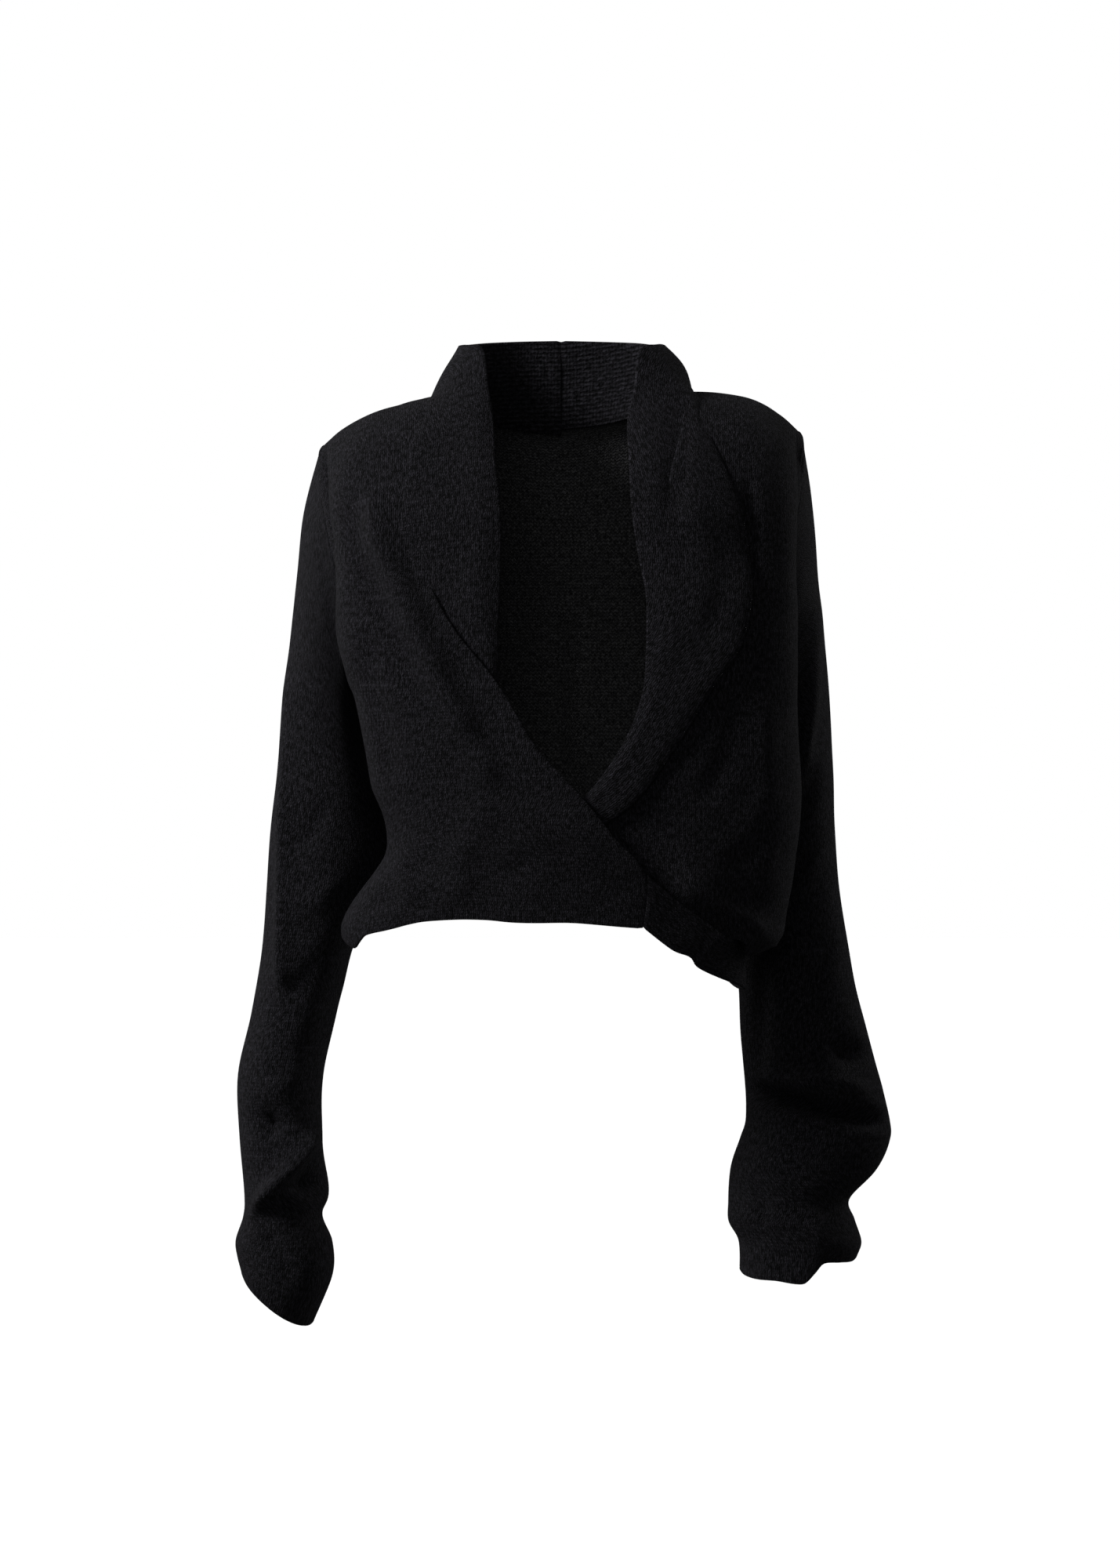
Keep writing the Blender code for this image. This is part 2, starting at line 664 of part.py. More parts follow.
def cloth(name, grid, sewn=(), closed=False):
    """A wall of knit with its outer face on a grid of points, and a gap at the borders that are sewn.

    The inner face stands back a little more there, so that walls that meet at an angle stay apart.
    """
    outer = trimmed(grid, sewn, SEAM_GAP / 2)
    inner = []
    for line, normals in zip(outer, grid_normals(outer, closed)):
        inner.append([point - normal * WALL for point, normal in zip(line, normals)])
    inner = trimmed(inner, sewn, SEAM_BEVEL)
    columns = len(grid[0])
    last = (len(grid) - 1) * columns
    inside = len(grid) * columns
    points = [point for line in outer + inner for point in line]
    faces = []
    steps = range(columns if closed else columns - 1)
    for low in range(0, last, columns):
        high = low + columns
        for j in steps:
            after = (j + 1) % columns
            face = (low + j, low + after, high + after, high + j)
            faces.append(face)
            faces.append(tuple(corner + inside for corner in reversed(face)))
        if not closed:
            faces.append((low, high, high + inside, low + inside))
            end = columns - 1
            faces.append((high + end, low + end, low + end + inside, high + end + inside))
    for j in steps:
        after = (j + 1) % columns
        faces.append((after, j, j + inside, after + inside))
        faces.append((last + j, last + after, last + after + inside, last + j + inside))
    mesh = bpy.data.meshes.new(name)
    mesh.from_pydata(points, [], faces)
    mesh.materials.append(knit_material(name + "_knit"))
    mesh.shade_smooth()
    mesh.set_sharp_from_angle(angle=math.radians(SHARP_DEGREES))
    piece = bpy.data.objects.new(name, mesh)
    bpy.context.scene.collection.objects.link(piece)
    return piece


def over_lift(point):
    distance = read(OVER_EDGE, "x", point.z) - point.x
    fade = 1 - ease((distance - OVER_LIFT_FULL) / (OVER_LIFT_FADE - OVER_LIFT_FULL))
    return read(OVER_LIFT, "lift", point.z) * fade


def build_front_right():
    """The front that lies on top, from its side seam across to the free wrap edge."""
    grid = []
    for row in range(TOP_ROW + 1):
        edge = edge_place(OVER_HEM, OVER_EDGE, row)
        places = [mix(-1.0, edge, j / FRONT_COLUMNS) for j in range(FRONT_COLUMNS + 1)]
        grid.append([form_point(FRONT, OVER_HEM, place, row) for place in places])
    grid = shaped(grid, BODY_FOLDS, over_lift)
    return cloth("front_right", grid, ("left", "right", "top"))


def build_front_left():
    """The front that lies below, from its edge under the collar to its side seam."""
    grid = []
    for row in range(TOP_ROW + 1):
        edge = edge_place(UNDER_HEM, UNDER_EDGE, row)
        places = [mix(edge, 1.0, j / FRONT_COLUMNS) for j in range(FRONT_COLUMNS + 1)]
        grid.append([form_point(FRONT, UNDER_HEM, place, row) for place in places])
    grid = shaped(grid, BLOUSE_FOLDS)
    return cloth("front_left", grid, ("right", "top"))


def build_back():
    grid = []
    for row in range(TOP_ROW + 1):
        places = [mix(1.0, -1.0, j / BACK_COLUMNS) for j in range(BACK_COLUMNS + 1)]
        grid.append([form_point(BACK, BACK_HEM, place, row) for place in places])
    grid = shaped(grid, BODY_FOLDS)
    return cloth("back", grid, ("left", "right", "top"))


def build_sleeve(side):
    """A sleeve, from the armhole down to the open cuff."""
    table = SLEEVE[side]
    steps = 2 * (TOP_ROW - HEM_ROWS)
    corners = []
    for ring in table:
        corners.append([ring_point(side, ring, math.tau * j / steps) for j in range(steps)])
    count = (len(table) - 1) * RINGS_PER_ROW
    grid = []
    for i in range(count + 1):
        at = i / RINGS_PER_ROW
        grid.append([through([line[j] for line in corners], at) for j in range(steps)])
    if side == LEFT:
        grid = [line[::-1] for line in grid]
    grid = grid[::-1]
    grid = shaped(grid, SLEEVE_FOLDS[side], closed=True)
    return cloth("sleeve_" + side_column(side), grid, ("top",), closed=True)


def place_on_cap(hem, x, y):
    """The place across and the row of the front's point with this x and y, near the shoulder."""
    across = 0.5 * side_of(x)
    row = CHEST_ROW
    for _ in range(5):
        row = solve(CHEST_ROW, TOP_ROW, lambda value: form_point(FRONT, hem, across, value).y - y)
        across = solve(-CORNER, CORNER, lambda value: form_point(FRONT, hem, value, row).x - x)
    return across, row


def raised(hem, across, row, lift):
    """A point of the front's form, moved out from it."""
    point = form_point(FRONT, hem, across, row)
    sideways = form_point(FRONT, hem, across + 0.01, row) - point
    above = form_point(FRONT, hem, across, min(row + 0.1, TOP_ROW))
    below = form_point(FRONT, hem, across, row - 0.1)
    return point + sideways.cross(above - below).normalized() * lift


def neck_line(station, side, hem):
    """The points across the collar at one place round the neck."""
    x = side * station.seam_x
    if station.seam_y is None:
        level = read(SHOULDER, side_column(side), NECK_HALF_WIDTH) - BACK_NECK[-1].height
        height = read(BACK_NECK, "height", station.seam_x) + level * (station.seam_x / NECK_HALF_WIDTH) ** 2
        seam = Vector((x, read(BACK_NECK, "y", station.seam_x), height + station.lift))
    else:
        across, row = place_on_cap(hem, x, station.seam_y)
        seam = raised(hem, across, row, station.lift)
    edge = Vector((side * station.edge_x, station.edge_y, station.edge_z))
    away = Vector((seam.x, seam.y - 0.02, 0.0)).normalized()
    line = []
    for j in range(COLLAR_COLUMNS + 1):
        share = j / COLLAR_COLUMNS
        swell = station.swell * SWELL_SHARE[side]
        line.append(mix(seam, edge, share) + away * swell * math.sin(math.pi * share))
    return line


def chest_line(station, hem):
    """The points across the collar at one place on the chest."""
    line = []
    for j in range(COLLAR_COLUMNS + 1):
        share = j / COLLAR_COLUMNS
        x = mix(station.outer_x, station.inner_x, share)
        height = mix(station.outer_z, station.inner_z, share)
        across, row = place_on_form(FRONT, hem, x, height)
        curl = COLLAR_CURL if j == COLLAR_COLUMNS else 0.0
        line.append(raised(hem, across, row, station.lift - curl))
    return line


def build_collar(side):
    """Half of the shawl collar, from the seam at the middle of the back to its tip on the chest."""
    hem = OVER_HEM if side == RIGHT else UNDER_HEM
    stations = [neck_line(station, side, hem) for station in COLLAR_NECK + COLLAR_SHOULDER[side]]
    stations += [chest_line(station, hem) for station in COLLAR_CHEST[side]]
    count = (len(stations) - 1) * STEPS_PER_STATION
    grid = []
    for i in range(count + 1):
        at = i / STEPS_PER_STATION
        grid.append([through([line[j] for line in stations], at) for j in range(COLLAR_COLUMNS + 1)])
    if side == RIGHT:
        grid = [line[::-1] for line in grid]
    seam = "right" if side == RIGHT else "left"
    return cloth("collar_" + side_column(side), grid, ("bottom", seam))


def tie_line(station):
    """The points from the tie's bottom to its top at one place along it."""
    line = []
    for j in range(TIE_COLUMNS + 1):
        height = mix(station.bottom_z, station.top_z, j / TIE_COLUMNS)
        if station.face is None:
            line.append(Vector((station.x, station.y, height)))
            continue
        hem = UNDER_HEM if station.face == FRONT else BACK_HEM
        x = station.x or read(OVER_EDGE, "x", height) + SEAM_GAP
        across, _ = place_on_form(station.face, hem, x, max(height, TIE_HEM_HEIGHT))
        point = section_point(station.face, across, height)
        beside = section_point(station.face, across + 0.02, height)
        out = Vector((0.0, 0.0, 1.0)).cross(beside - point).normalized()
        if out.y * station.face < 0:
            out.negate()
        line.append(point + out * station.lift)
    return line


def build_tie():
    """The tie that carries on from the top front, round the wearer's left side to the back."""
    stations = [tie_line(station) for station in TIE]
    count = (len(stations) - 1) * TIE_STEPS
    grid = []
    for j in range(TIE_COLUMNS + 1):
        column = [line[j] for line in stations]
        grid.append([through(column, i / TIE_STEPS) for i in range(count + 1)])
    return cloth("tie", grid, ("left",))


def main():
    for old in list(bpy.data.objects):
        bpy.data.objects.remove(old)
    build_back()
    build_front_right()
    build_front_left()
    build_collar(RIGHT)
    build_collar(LEFT)
    build_sleeve(RIGHT)
    build_sleeve(LEFT)
    build_tie()


main()
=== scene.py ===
import math
from collections import namedtuple

import bpy
import numpy as np
from bpy.props import FloatProperty, FloatVectorProperty
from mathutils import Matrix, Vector


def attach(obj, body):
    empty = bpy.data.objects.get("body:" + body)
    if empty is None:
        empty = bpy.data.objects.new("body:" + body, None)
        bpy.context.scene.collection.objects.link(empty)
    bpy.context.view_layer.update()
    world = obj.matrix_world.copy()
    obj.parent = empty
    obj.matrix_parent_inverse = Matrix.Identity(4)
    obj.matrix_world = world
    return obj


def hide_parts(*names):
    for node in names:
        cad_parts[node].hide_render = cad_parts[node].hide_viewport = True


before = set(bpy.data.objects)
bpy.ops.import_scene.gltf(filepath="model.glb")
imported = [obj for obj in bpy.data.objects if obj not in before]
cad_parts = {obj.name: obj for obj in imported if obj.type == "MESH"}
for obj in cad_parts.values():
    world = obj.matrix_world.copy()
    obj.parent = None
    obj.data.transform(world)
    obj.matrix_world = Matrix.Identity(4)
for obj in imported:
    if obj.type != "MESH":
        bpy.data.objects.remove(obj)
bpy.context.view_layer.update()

bl_info = {
    "name": "Cropped wrap sweater",
    "version": (1, 0, 0),
    "blender": (4, 5, 0),
    "location": "3D View > Sidebar > Sweater",
    "description": "Builds a cropped wrap sweater in brushed knit, in its worn form, and its studio",
    "category": "Object",
}

# Metres, +Z up, front towards -Y, the wearer's right at -X, the origin at the base of the neck.
# Each piece repeats the form of the solid that it replaces, with finer rows, soft creases and rolled edges.
# A place across the body runs from -1 at the right side seam to 1 at the left one, and rows run from
# 0 at the hem to TOP_ROW at the shoulder seam.
BODY = "root"

# Camera: a long lens at the height of the chest, which takes in the whole frame of the photograph
LENS = 120.0
SENSOR = 36.0
CLIP_END = 100.0
CAMERA_PLACE = (-0.001, -4.530, -0.3264)
CAMERA_TARGET = (-0.001, 0.0, -0.3264)

# Studio
CHEST = (0.0, 0.0, -0.300)
KEY_PLACE = (-2.20, -1.10, 1.30)
KEY_SIZE = 0.80
FILL_PLACE = (-0.40, -3.20, 0.40)
FILL_SIZE = 1.20
RIM_LEFT_PLACE = (-1.60, 1.20, 0.40)
RIM_RIGHT_PLACE = (1.60, 1.20, 0.40)
RIM_SIZE = 1.00
AMBIENT = 0.05
PAPER_LIGHT = 3.6
PAPER_SOFTNESS = 2.0
FLOOR_HEIGHT = -1.350
FLOOR_SIZE = 60.0

# Fineness of the visible surface: points for each span of the coarse form
PANEL_STEPS = 4
SLEEVE_ROW_STEPS = 10
SLEEVE_COLUMN_STEPS = 6
COLLAR_ROW_STEPS = 6
COLLAR_COLUMN_STEPS = 5
TIE_ROW_STEPS = 6
TIE_COLUMN_STEPS = 10

# Where the wales of each front hang straight
HANG_LINE = 0.140

# How finely a place on the form is searched for, and the steps to the points that give its direction
HALVINGS = 28
SEARCH_PASSES = 5
STEP_ACROSS = 0.01
STEP_UP = 0.1
TIE_STEP_ACROSS = 0.02

# How far behind the origin the middle of the neck lies, from which the collar swells outwards
NECK_CENTRE = 0.02

# How far a sewn edge reaches past its own line and swells into its seam, and how many points of the cloth
# beside a long seam stay on the form
SEAM_OVERLAP = 0.0004
SEAM_SWELL = 0.0008
SEAM_HOLD = 5

# How far a panel's side reaches past its line, and over how many rows down from the shoulder that grows
SIDE_OVERLAP = 0.0012
SHOULDER_ROWS = 14

# How far a sleeve's top reaches under the panels and sinks there, and the height down from the tip of the
# shoulder over which both grow
CAP_OVERLAP = 0.0065
CAP_SINK = 0.0010
CAP_FADE = 0.050

# How far the tie's front end reaches under the top front and sinks there
TIE_REACH = 0.0025
TIE_SINK = 0.0018

# How far the collar's sewn edge reaches over the body, and how far each half stands back from the seam at the
# middle of the back
COLLAR_OVERLAP = 0.0030
COLLAR_GROOVE = 0.0010

# How much further the right half's outer edge covers the front, how far it lies above it, the height where
# that ends, and the height over which it fades
COLLAR_COVER = 0.0045
COLLAR_RAISE = 0.0010
COVER_END = -0.182
COVER_FADE = 0.025

# Over how many points the collar's outer edge is eased, and how far in front of the shoulder that is full
FEATHER_COLUMNS = 6
FEATHER_START = 0.012

# The stitches, as shares of their own sizes, and the slow wandering of the waves in the cloth
STITCH_SLANT = 0.75
STITCH_BEAT = 0.22
LOOP_WAVE = 1.5
LOOP_SWING = 0.38
RIB_SWING = 0.36
RIB_BEAT = 0.14
WANDER = 0.7
WANDER_RATE = 0.37

# The brushed fibres: noise in waves for each metre, stretched along the wales, and how strongly each part
# shows;
# their grey, mixed into the colour, is painted sheen
SCATTER = 0.0042
SCATTER_SCALE = 330.0
HAZE_SCALE = 420.0
BRUSHING = 0.45
NAP_RANGE = {"face": (0.42, 0.60), "purl": (0.30, 0.66), "rib": (0.40, 0.62)}
PATCH_SCALE = 55.0
# How much the stitch relief darkens the colour in the grooves: painted shade in the grooves, painted light on
# the raised stitches
STITCH_GROOVE_SHADE = 0.80
# How strongly the painted sheen varies in patches
PATCH_SHEEN = 0.5
NAP_RELIEF = 1.2
SHEEN_WEIGHT = 0.03
SHEEN_ROUGHNESS = 0.5
WOOL_ROUGHNESS = 0.92
WOOL_IOR = 1.54
WOOL_SPECULAR = 0.2
PAPER_ROUGHNESS = 0.95
PAPER_IOR = 1.5

# Driving dimensions
SEAM_GAP = 0.0003
UNDERARM_HEIGHT = -0.250
CHEST_HEIGHT = -0.130
SIDE_SEAM_HEM = -0.447
SHOULDER_HALF_WIDTH = 0.207
NECK_HALF_WIDTH = 0.112
COLLAR_CURL = 0.004
TIE_HEM_HEIGHT = -0.440

# How the panels are divided
HEM_ROWS = 12
ARMHOLE_ROWS = 6
CAP_ROWS = 5
CHEST_ROW = HEM_ROWS + ARMHOLE_ROWS
TOP_ROW = CHEST_ROW + CAP_ROWS
FRONT_COLUMNS = 24
BACK_COLUMNS = 30
COLLAR_COLUMNS = 5
TIE_COLUMNS = 2

# How the form is rounded
CORNER = 0.85
FULLNESS = 2.45
FOLD_START = 0.17
FOLD_END = 0.47
FOLD_IN = 0.15
SHOULDER_CORNER = 0.97
ROW_CROWDING = 1.2
CAP_CROWDING = 1.35
SEAM_REACH = 0.65

RIGHT = -1
LEFT = 1
FRONT = -1
BACK = 1

Centre = namedtuple("Centre", "height front back")
CENTRE = (
    Centre(-0.500, 0.116, 0.084),
    Centre(-0.450, 0.120, 0.086),
    Centre(-0.400, 0.128, 0.090),
    Centre(-0.330, 0.131, 0.096),
    Centre(-0.250, 0.131, 0.102),
    Centre(-0.190, 0.127, 0.105),
    Centre(-0.130, 0.118, 0.105),
)

# The soft fold where each front turns back towards its side seam
Turn = namedtuple("Turn", "height right left y")
TURN = (
    Turn(-0.500, 0.160, 0.148, -0.020),
    Turn(-0.474, 0.180, 0.170, -0.022),
    Turn(-0.464, 0.187, 0.188, -0.024),
    Turn(-0.450, 0.189, 0.192, -0.028),
    Turn(-0.436, 0.184, 0.194, -0.032),
    Turn(-0.411, 0.167, 0.198, -0.040),
    Turn(-0.389, 0.151, 0.201, -0.048),
    Turn(-0.360, 0.151, 0.204, -0.052),
    Turn(-0.330, 0.162, 0.205, -0.054),
    Turn(-0.285, 0.170, 0.203, -0.057),
    Turn(-0.240, 0.179, 0.202, -0.061),
    Turn(-0.192, 0.188, 0.202, -0.060),
    Turn(-0.130, 0.194, 0.202, -0.050),
)

Seam = namedtuple("Seam", "height right left y")
SIDE_SEAM = (
    Seam(-0.500, 0.135, 0.138, -0.004),
    Seam(-0.450, 0.136, 0.138, -0.002),
    Seam(-0.390, 0.135, 0.137, 0.000),
    Seam(-0.330, 0.135, 0.137, 0.002),
    Seam(-0.290, 0.139, 0.141, 0.004),
    Seam(-0.265, 0.147, 0.149, 0.009),
    Seam(-0.250, 0.155, 0.158, 0.014),
)

# Where the back is widest
BackTurn = namedtuple("BackTurn", "height right left y")
BACK_TURN = (
    BackTurn(-0.500, 0.136, 0.137, 0.016),
    BackTurn(-0.450, 0.137, 0.138, 0.020),
    BackTurn(-0.390, 0.137, 0.138, 0.025),
    BackTurn(-0.330, 0.138, 0.139, 0.030),
    BackTurn(-0.290, 0.141, 0.143, 0.036),
    BackTurn(-0.250, 0.152, 0.155, 0.050),
    BackTurn(-0.220, 0.162, 0.165, 0.072),
    BackTurn(-0.190, 0.171, 0.174, 0.084),
    BackTurn(-0.130, 0.185, 0.188, 0.090),
)

Shoulder = namedtuple("Shoulder", "x right left y")
SHOULDER = (
    Shoulder(0.000, 0.0125, 0.0145, 0.012),
    Shoulder(0.060, 0.0125, 0.0145, 0.012),
    Shoulder(0.112, 0.0100, 0.0145, 0.011),
    Shoulder(0.145, 0.0015, 0.0115, 0.011),
    Shoulder(0.167, -0.0061, 0.0070, 0.011),
    Shoulder(0.191, -0.0197, -0.0060, 0.012),
    Shoulder(0.207, -0.0325, -0.0205, 0.014),
)

BackNeck = namedtuple("BackNeck", "x height y")
BACK_NECK = (
    BackNeck(0.000, -0.0113, 0.078),
    BackNeck(0.036, -0.0075, 0.0745),
    BackNeck(0.062, -0.0030, 0.063),
    BackNeck(0.087, 0.0040, 0.042),
    BackNeck(0.112, 0.0120, 0.011),
)

Hem = namedtuple("Hem", "x height")
OVER_HEM = (
    Hem(-0.189, -0.458),
    Hem(-0.180, -0.466),
    Hem(-0.168, -0.455),
    Hem(-0.146, -0.449),
    Hem(-0.118, -0.442),
    Hem(-0.071, -0.440),
    Hem(-0.034, -0.442),
    Hem(0.000, -0.441),
    Hem(0.067, -0.446),
)
UNDER_HEM = (
    Hem(-0.020, -0.436),
    Hem(0.050, -0.438),
    Hem(0.090, -0.450),
    Hem(0.115, -0.456),
    Hem(0.135, -0.456),
    Hem(0.155, -0.459),
    Hem(0.172, -0.470),
    Hem(0.184, -0.473),
    Hem(0.192, -0.466),
)
BACK_HEM = (
    Hem(-0.137, -0.446),
    Hem(-0.090, -0.440),
    Hem(0.000, -0.437),
    Hem(0.090, -0.440),
    Hem(0.138, -0.446),
)

# The edges of the two fronts, from the neck down: sewn to the collar first, then free
Edge = namedtuple("Edge", "height x")
OVER_EDGE = (
    Edge(0.0100, -0.112),
    Edge(-0.020, -0.117),
    Edge(-0.060, -0.124),
    Edge(-0.095, -0.129),
    Edge(-0.122, -0.1295),
    Edge(-0.142, -0.121),
    Edge(-0.166, -0.108),
    Edge(-0.198, -0.090),
    Edge(-0.221, -0.071),
    Edge(-0.242, -0.054),
    Edge(-0.296, -0.021),
    Edge(-0.340, 0.0185),
    Edge(-0.375, 0.047),
    Edge(-0.402, 0.070),
    Edge(-0.450, 0.067),
)
UNDER_EDGE = (
    Edge(0.0145, 0.112),
    Edge(-0.010, 0.108),
    Edge(-0.045, 0.098),
    Edge(-0.090, 0.090),
    Edge(-0.138, 0.092),
    Edge(-0.190, 0.096),
    Edge(-0.240, 0.092),
    Edge(-0.270, 0.083),
    Edge(-0.300, 0.068),
    Edge(-0.330, 0.050),
    Edge(-0.355, 0.038),
    Edge(-0.380, 0.030),
    Edge(-0.440, 0.012),
)

# How far the top front stands out over what it covers
Lift = namedtuple("Lift", "height lift")
OVER_LIFT = (
    Lift(-0.150, 0.0000),
    Lift(-0.175, 0.0026),
    Lift(-0.200, 0.005),
    Lift(-0.260, 0.008),
    Lift(-0.310, 0.0115),
    Lift(-0.370, 0.0115),
    Lift(-0.405, 0.007),
    Lift(-0.450, 0.0068),
)
OVER_LIFT_FULL = 0.075
OVER_LIFT_FADE = 0.140

Ring = namedtuple("Ring", "outer outer_z inner inner_z middle depth bow")
SLEEVE = {
    RIGHT: (
        Ring(0.2070, -0.0325, 0.1550, -0.2500, 0.014, 0.058, 0.012),
        Ring(0.2240, -0.0879, 0.1710, -0.2590, 0.031, 0.057, 0.004),
        Ring(0.2305, -0.1424, 0.1710, -0.2820, 0.039, 0.056, 0.002),
        Ring(0.2399, -0.2242, 0.1660, -0.3160, 0.046, 0.055, 0.000),
        Ring(0.2474, -0.3060, 0.1520, -0.3520, 0.050, 0.055, 0.000),
        Ring(0.2544, -0.3608, 0.1480, -0.3920, 0.055, 0.054, 0.000),
        Ring(0.2585, -0.4158, 0.1640, -0.4260, 0.058, 0.054, 0.000),
        Ring(0.2626, -0.4708, 0.1829, -0.4708, 0.058, 0.053, 0.000),
        Ring(0.2716, -0.5258, 0.1966, -0.5258, 0.056, 0.052, 0.000),
        Ring(0.2833, -0.5808, 0.2083, -0.5808, 0.053, 0.051, 0.000),
        Ring(0.2819, -0.6358, 0.2090, -0.6358, 0.050, 0.051, 0.000),
        Ring(0.2775, -0.6850, 0.2035, -0.6830, 0.048, 0.051, 0.000),
        Ring(0.2785, -0.7045, 0.2090, -0.7035, 0.047, 0.048, 0.000),
        Ring(0.2850, -0.7250, 0.2000, -0.7270, 0.046, 0.048, 0.002),
        Ring(0.2835, -0.7380, 0.2000, -0.7570, 0.045, 0.046, 0.006),
        Ring(0.2790, -0.7480, 0.2170, -0.7970, 0.044, 0.040, 0.010),
    ),
    LEFT: (
        Ring(0.2070, -0.0205, 0.1580, -0.2500, 0.014, 0.058, 0.012),
        Ring(0.2194, -0.0879, 0.1650, -0.2650, 0.027, 0.058, 0.004),
        Ring(0.2242, -0.1424, 0.1640, -0.2870, 0.036, 0.057, 0.002),
        Ring(0.2331, -0.2242, 0.1610, -0.3160, 0.048, 0.054, 0.000),
        Ring(0.2385, -0.3060, 0.1560, -0.3520, 0.058, 0.052, 0.000),
        Ring(0.2405, -0.3609, 0.1510, -0.3920, 0.064, 0.050, 0.000),
        Ring(0.2446, -0.4160, 0.1520, -0.4300, 0.069, 0.049, 0.000),
        Ring(0.2530, -0.4700, 0.1545, -0.4740, 0.071, 0.049, 0.000),
        Ring(0.2611, -0.5124, 0.1564, -0.5124, 0.070, 0.050, 0.000),
        Ring(0.2756, -0.5676, 0.1598, -0.5676, 0.066, 0.052, 0.000),
        Ring(0.2885, -0.6190, 0.1626, -0.6150, 0.062, 0.055, 0.000),
        Ring(0.2885, -0.6400, 0.1570, -0.6370, 0.060, 0.056, 0.000),
        Ring(0.2765, -0.6650, 0.1483, -0.6640, 0.058, 0.054, 0.000),
        Ring(0.2530, -0.6900, 0.1465, -0.6920, 0.057, 0.052, 0.000),
        Ring(0.2575, -0.7080, 0.1470, -0.7090, 0.056, 0.052, 0.000),
        Ring(0.2635, -0.7260, 0.1555, -0.7260, 0.055, 0.051, 0.002),
        Ring(0.2600, -0.7360, 0.1565, -0.7500, 0.054, 0.048, 0.010),
    ),
}

# The collar round the neck: on the back's neckline where no seam_y is given, then on the front
NeckStation = namedtuple("NeckStation", "seam_x seam_y lift edge_x edge_y edge_z swell")
COLLAR_NECK = (
    NeckStation(0.0000, None, 0.0008, 0.000, 0.074, 0.0625, 0.002),
    NeckStation(0.0360, None, 0.0008, 0.036, 0.070, 0.0615, 0.002),
    NeckStation(0.0620, None, 0.0008, 0.066, 0.054, 0.0590, 0.003),
    NeckStation(0.0870, None, 0.0008, 0.085, 0.030, 0.0555, 0.005),
    NeckStation(0.1050, None, 0.0008, 0.090, 0.008, 0.0540, 0.008),
)
COLLAR_SHOULDER = {
    RIGHT: (
        NeckStation(0.1112, 0.004, 0.0008, 0.083, -0.012, 0.0530, 0.009),
        NeckStation(0.1112, -0.012, 0.0008, 0.069, -0.028, 0.0480, 0.008),
        NeckStation(0.1128, -0.033, 0.0004, 0.064, -0.045, 0.0150, 0.006),
    ),
    LEFT: (
        NeckStation(0.1120, 0.004, 0.0022, 0.083, -0.012, 0.0530, 0.009),
        NeckStation(0.1140, -0.012, 0.0040, 0.069, -0.028, 0.0480, 0.008),
        NeckStation(0.1175, -0.033, 0.0050, 0.064, -0.045, 0.0150, 0.006),
    ),
}

# The left half stands out more than the right one
SWELL_SHARE = {RIGHT: 0.35, LEFT: 1.0}

# The collar on the chest, from the side of the neck to its tip
ChestStation = namedtuple("ChestStation", "outer_x outer_z inner_x inner_z lift")
COLLAR_CHEST = {
    RIGHT: (
        ChestStation(-0.1175, -0.0300, -0.0580, -0.0150, 0.0000),
        ChestStation(-0.1232, -0.0620, -0.0569, -0.0500, 0.0000),
        ChestStation(-0.1273, -0.0980, -0.0530, -0.0850, 0.0000),
        ChestStation(-0.1275, -0.1230, -0.0512, -0.1150, 0.0000),
        ChestStation(-0.1200, -0.1420, -0.0516, -0.1390, 0.0000),
        ChestStation(-0.1160, -0.1660, -0.0525, -0.1650, 0.0000),
        ChestStation(-0.1010, -0.1980, -0.0536, -0.1940, 0.0000),
        ChestStation(-0.0850, -0.2220, -0.0534, -0.2210, 0.0000),
        ChestStation(-0.0740, -0.2450, -0.0532, -0.2450, 0.0000),
        ChestStation(-0.0720, -0.2680, -0.0530, -0.2680, 0.0000),
        ChestStation(-0.0710, -0.2900, -0.0540, -0.2900, 0.0000),
    ),
    LEFT: (
        ChestStation(0.1250, -0.0300, 0.0575, -0.0150, 0.0030),
        ChestStation(0.1370, -0.0600, 0.0584, -0.0470, 0.0030),
        ChestStation(0.1500, -0.0930, 0.0602, -0.0880, 0.0032),
        ChestStation(0.1562, -0.1310, 0.0655, -0.1290, 0.0040),
        ChestStation(0.1560, -0.1720, 0.0718, -0.1640, 0.0065),
        ChestStation(0.1470, -0.2090, 0.0728, -0.1950, 0.0065),
        ChestStation(0.1270, -0.2390, 0.0718, -0.2200, 0.0065),
        ChestStation(0.1097, -0.2672, 0.0700, -0.2450, 0.0065),
        ChestStation(0.0938, -0.2925, 0.0630, -0.2690, 0.0065),
        ChestStation(0.0751, -0.3198, 0.0515, -0.2940, 0.0065),
        ChestStation(0.0572, -0.3404, 0.0364, -0.3178, 0.0065),
        ChestStation(0.0386, -0.3543, 0.0205, -0.3363, 0.0065),
        ChestStation(0.0150, -0.3670, 0.0010, -0.3510, 0.0065),
        ChestStation(-0.0060, -0.3760, -0.0180, -0.3620, 0.0065),
    ),
}

# The tie: from the top front's edge along the other front, free past the side, then on the back
TieStation = namedtuple("TieStation", "face x top_z bottom_z y lift")
TIE = (
    TieStation(FRONT, None, -0.4030, -0.4455, None, 0.0068),
    TieStation(FRONT, 0.0955, -0.4250, -0.4650, None, 0.0052),
    TieStation(FRONT, 0.1220, -0.4450, -0.4727, None, 0.0052),
    TieStation(FRONT, 0.1400, -0.4575, -0.4830, None, 0.0052),
    TieStation(None, 0.1540, -0.4600, -0.4980, -0.064, None),
    TieStation(None, 0.1580, -0.4630, -0.5020, -0.028, None),
    TieStation(None, 0.1500, -0.4640, -0.4990, 0.016, None),
    TieStation(BACK, 0.1270, -0.4400, -0.4740, None, 0.0046),
    TieStation(BACK, 0.0950, -0.4200, -0.4540, None, 0.0042),
    TieStation(BACK, 0.0550, -0.4080, -0.4400, None, 0.0042),
    TieStation(BACK, 0.0100, -0.4020, -0.4320, None, 0.0042),
)

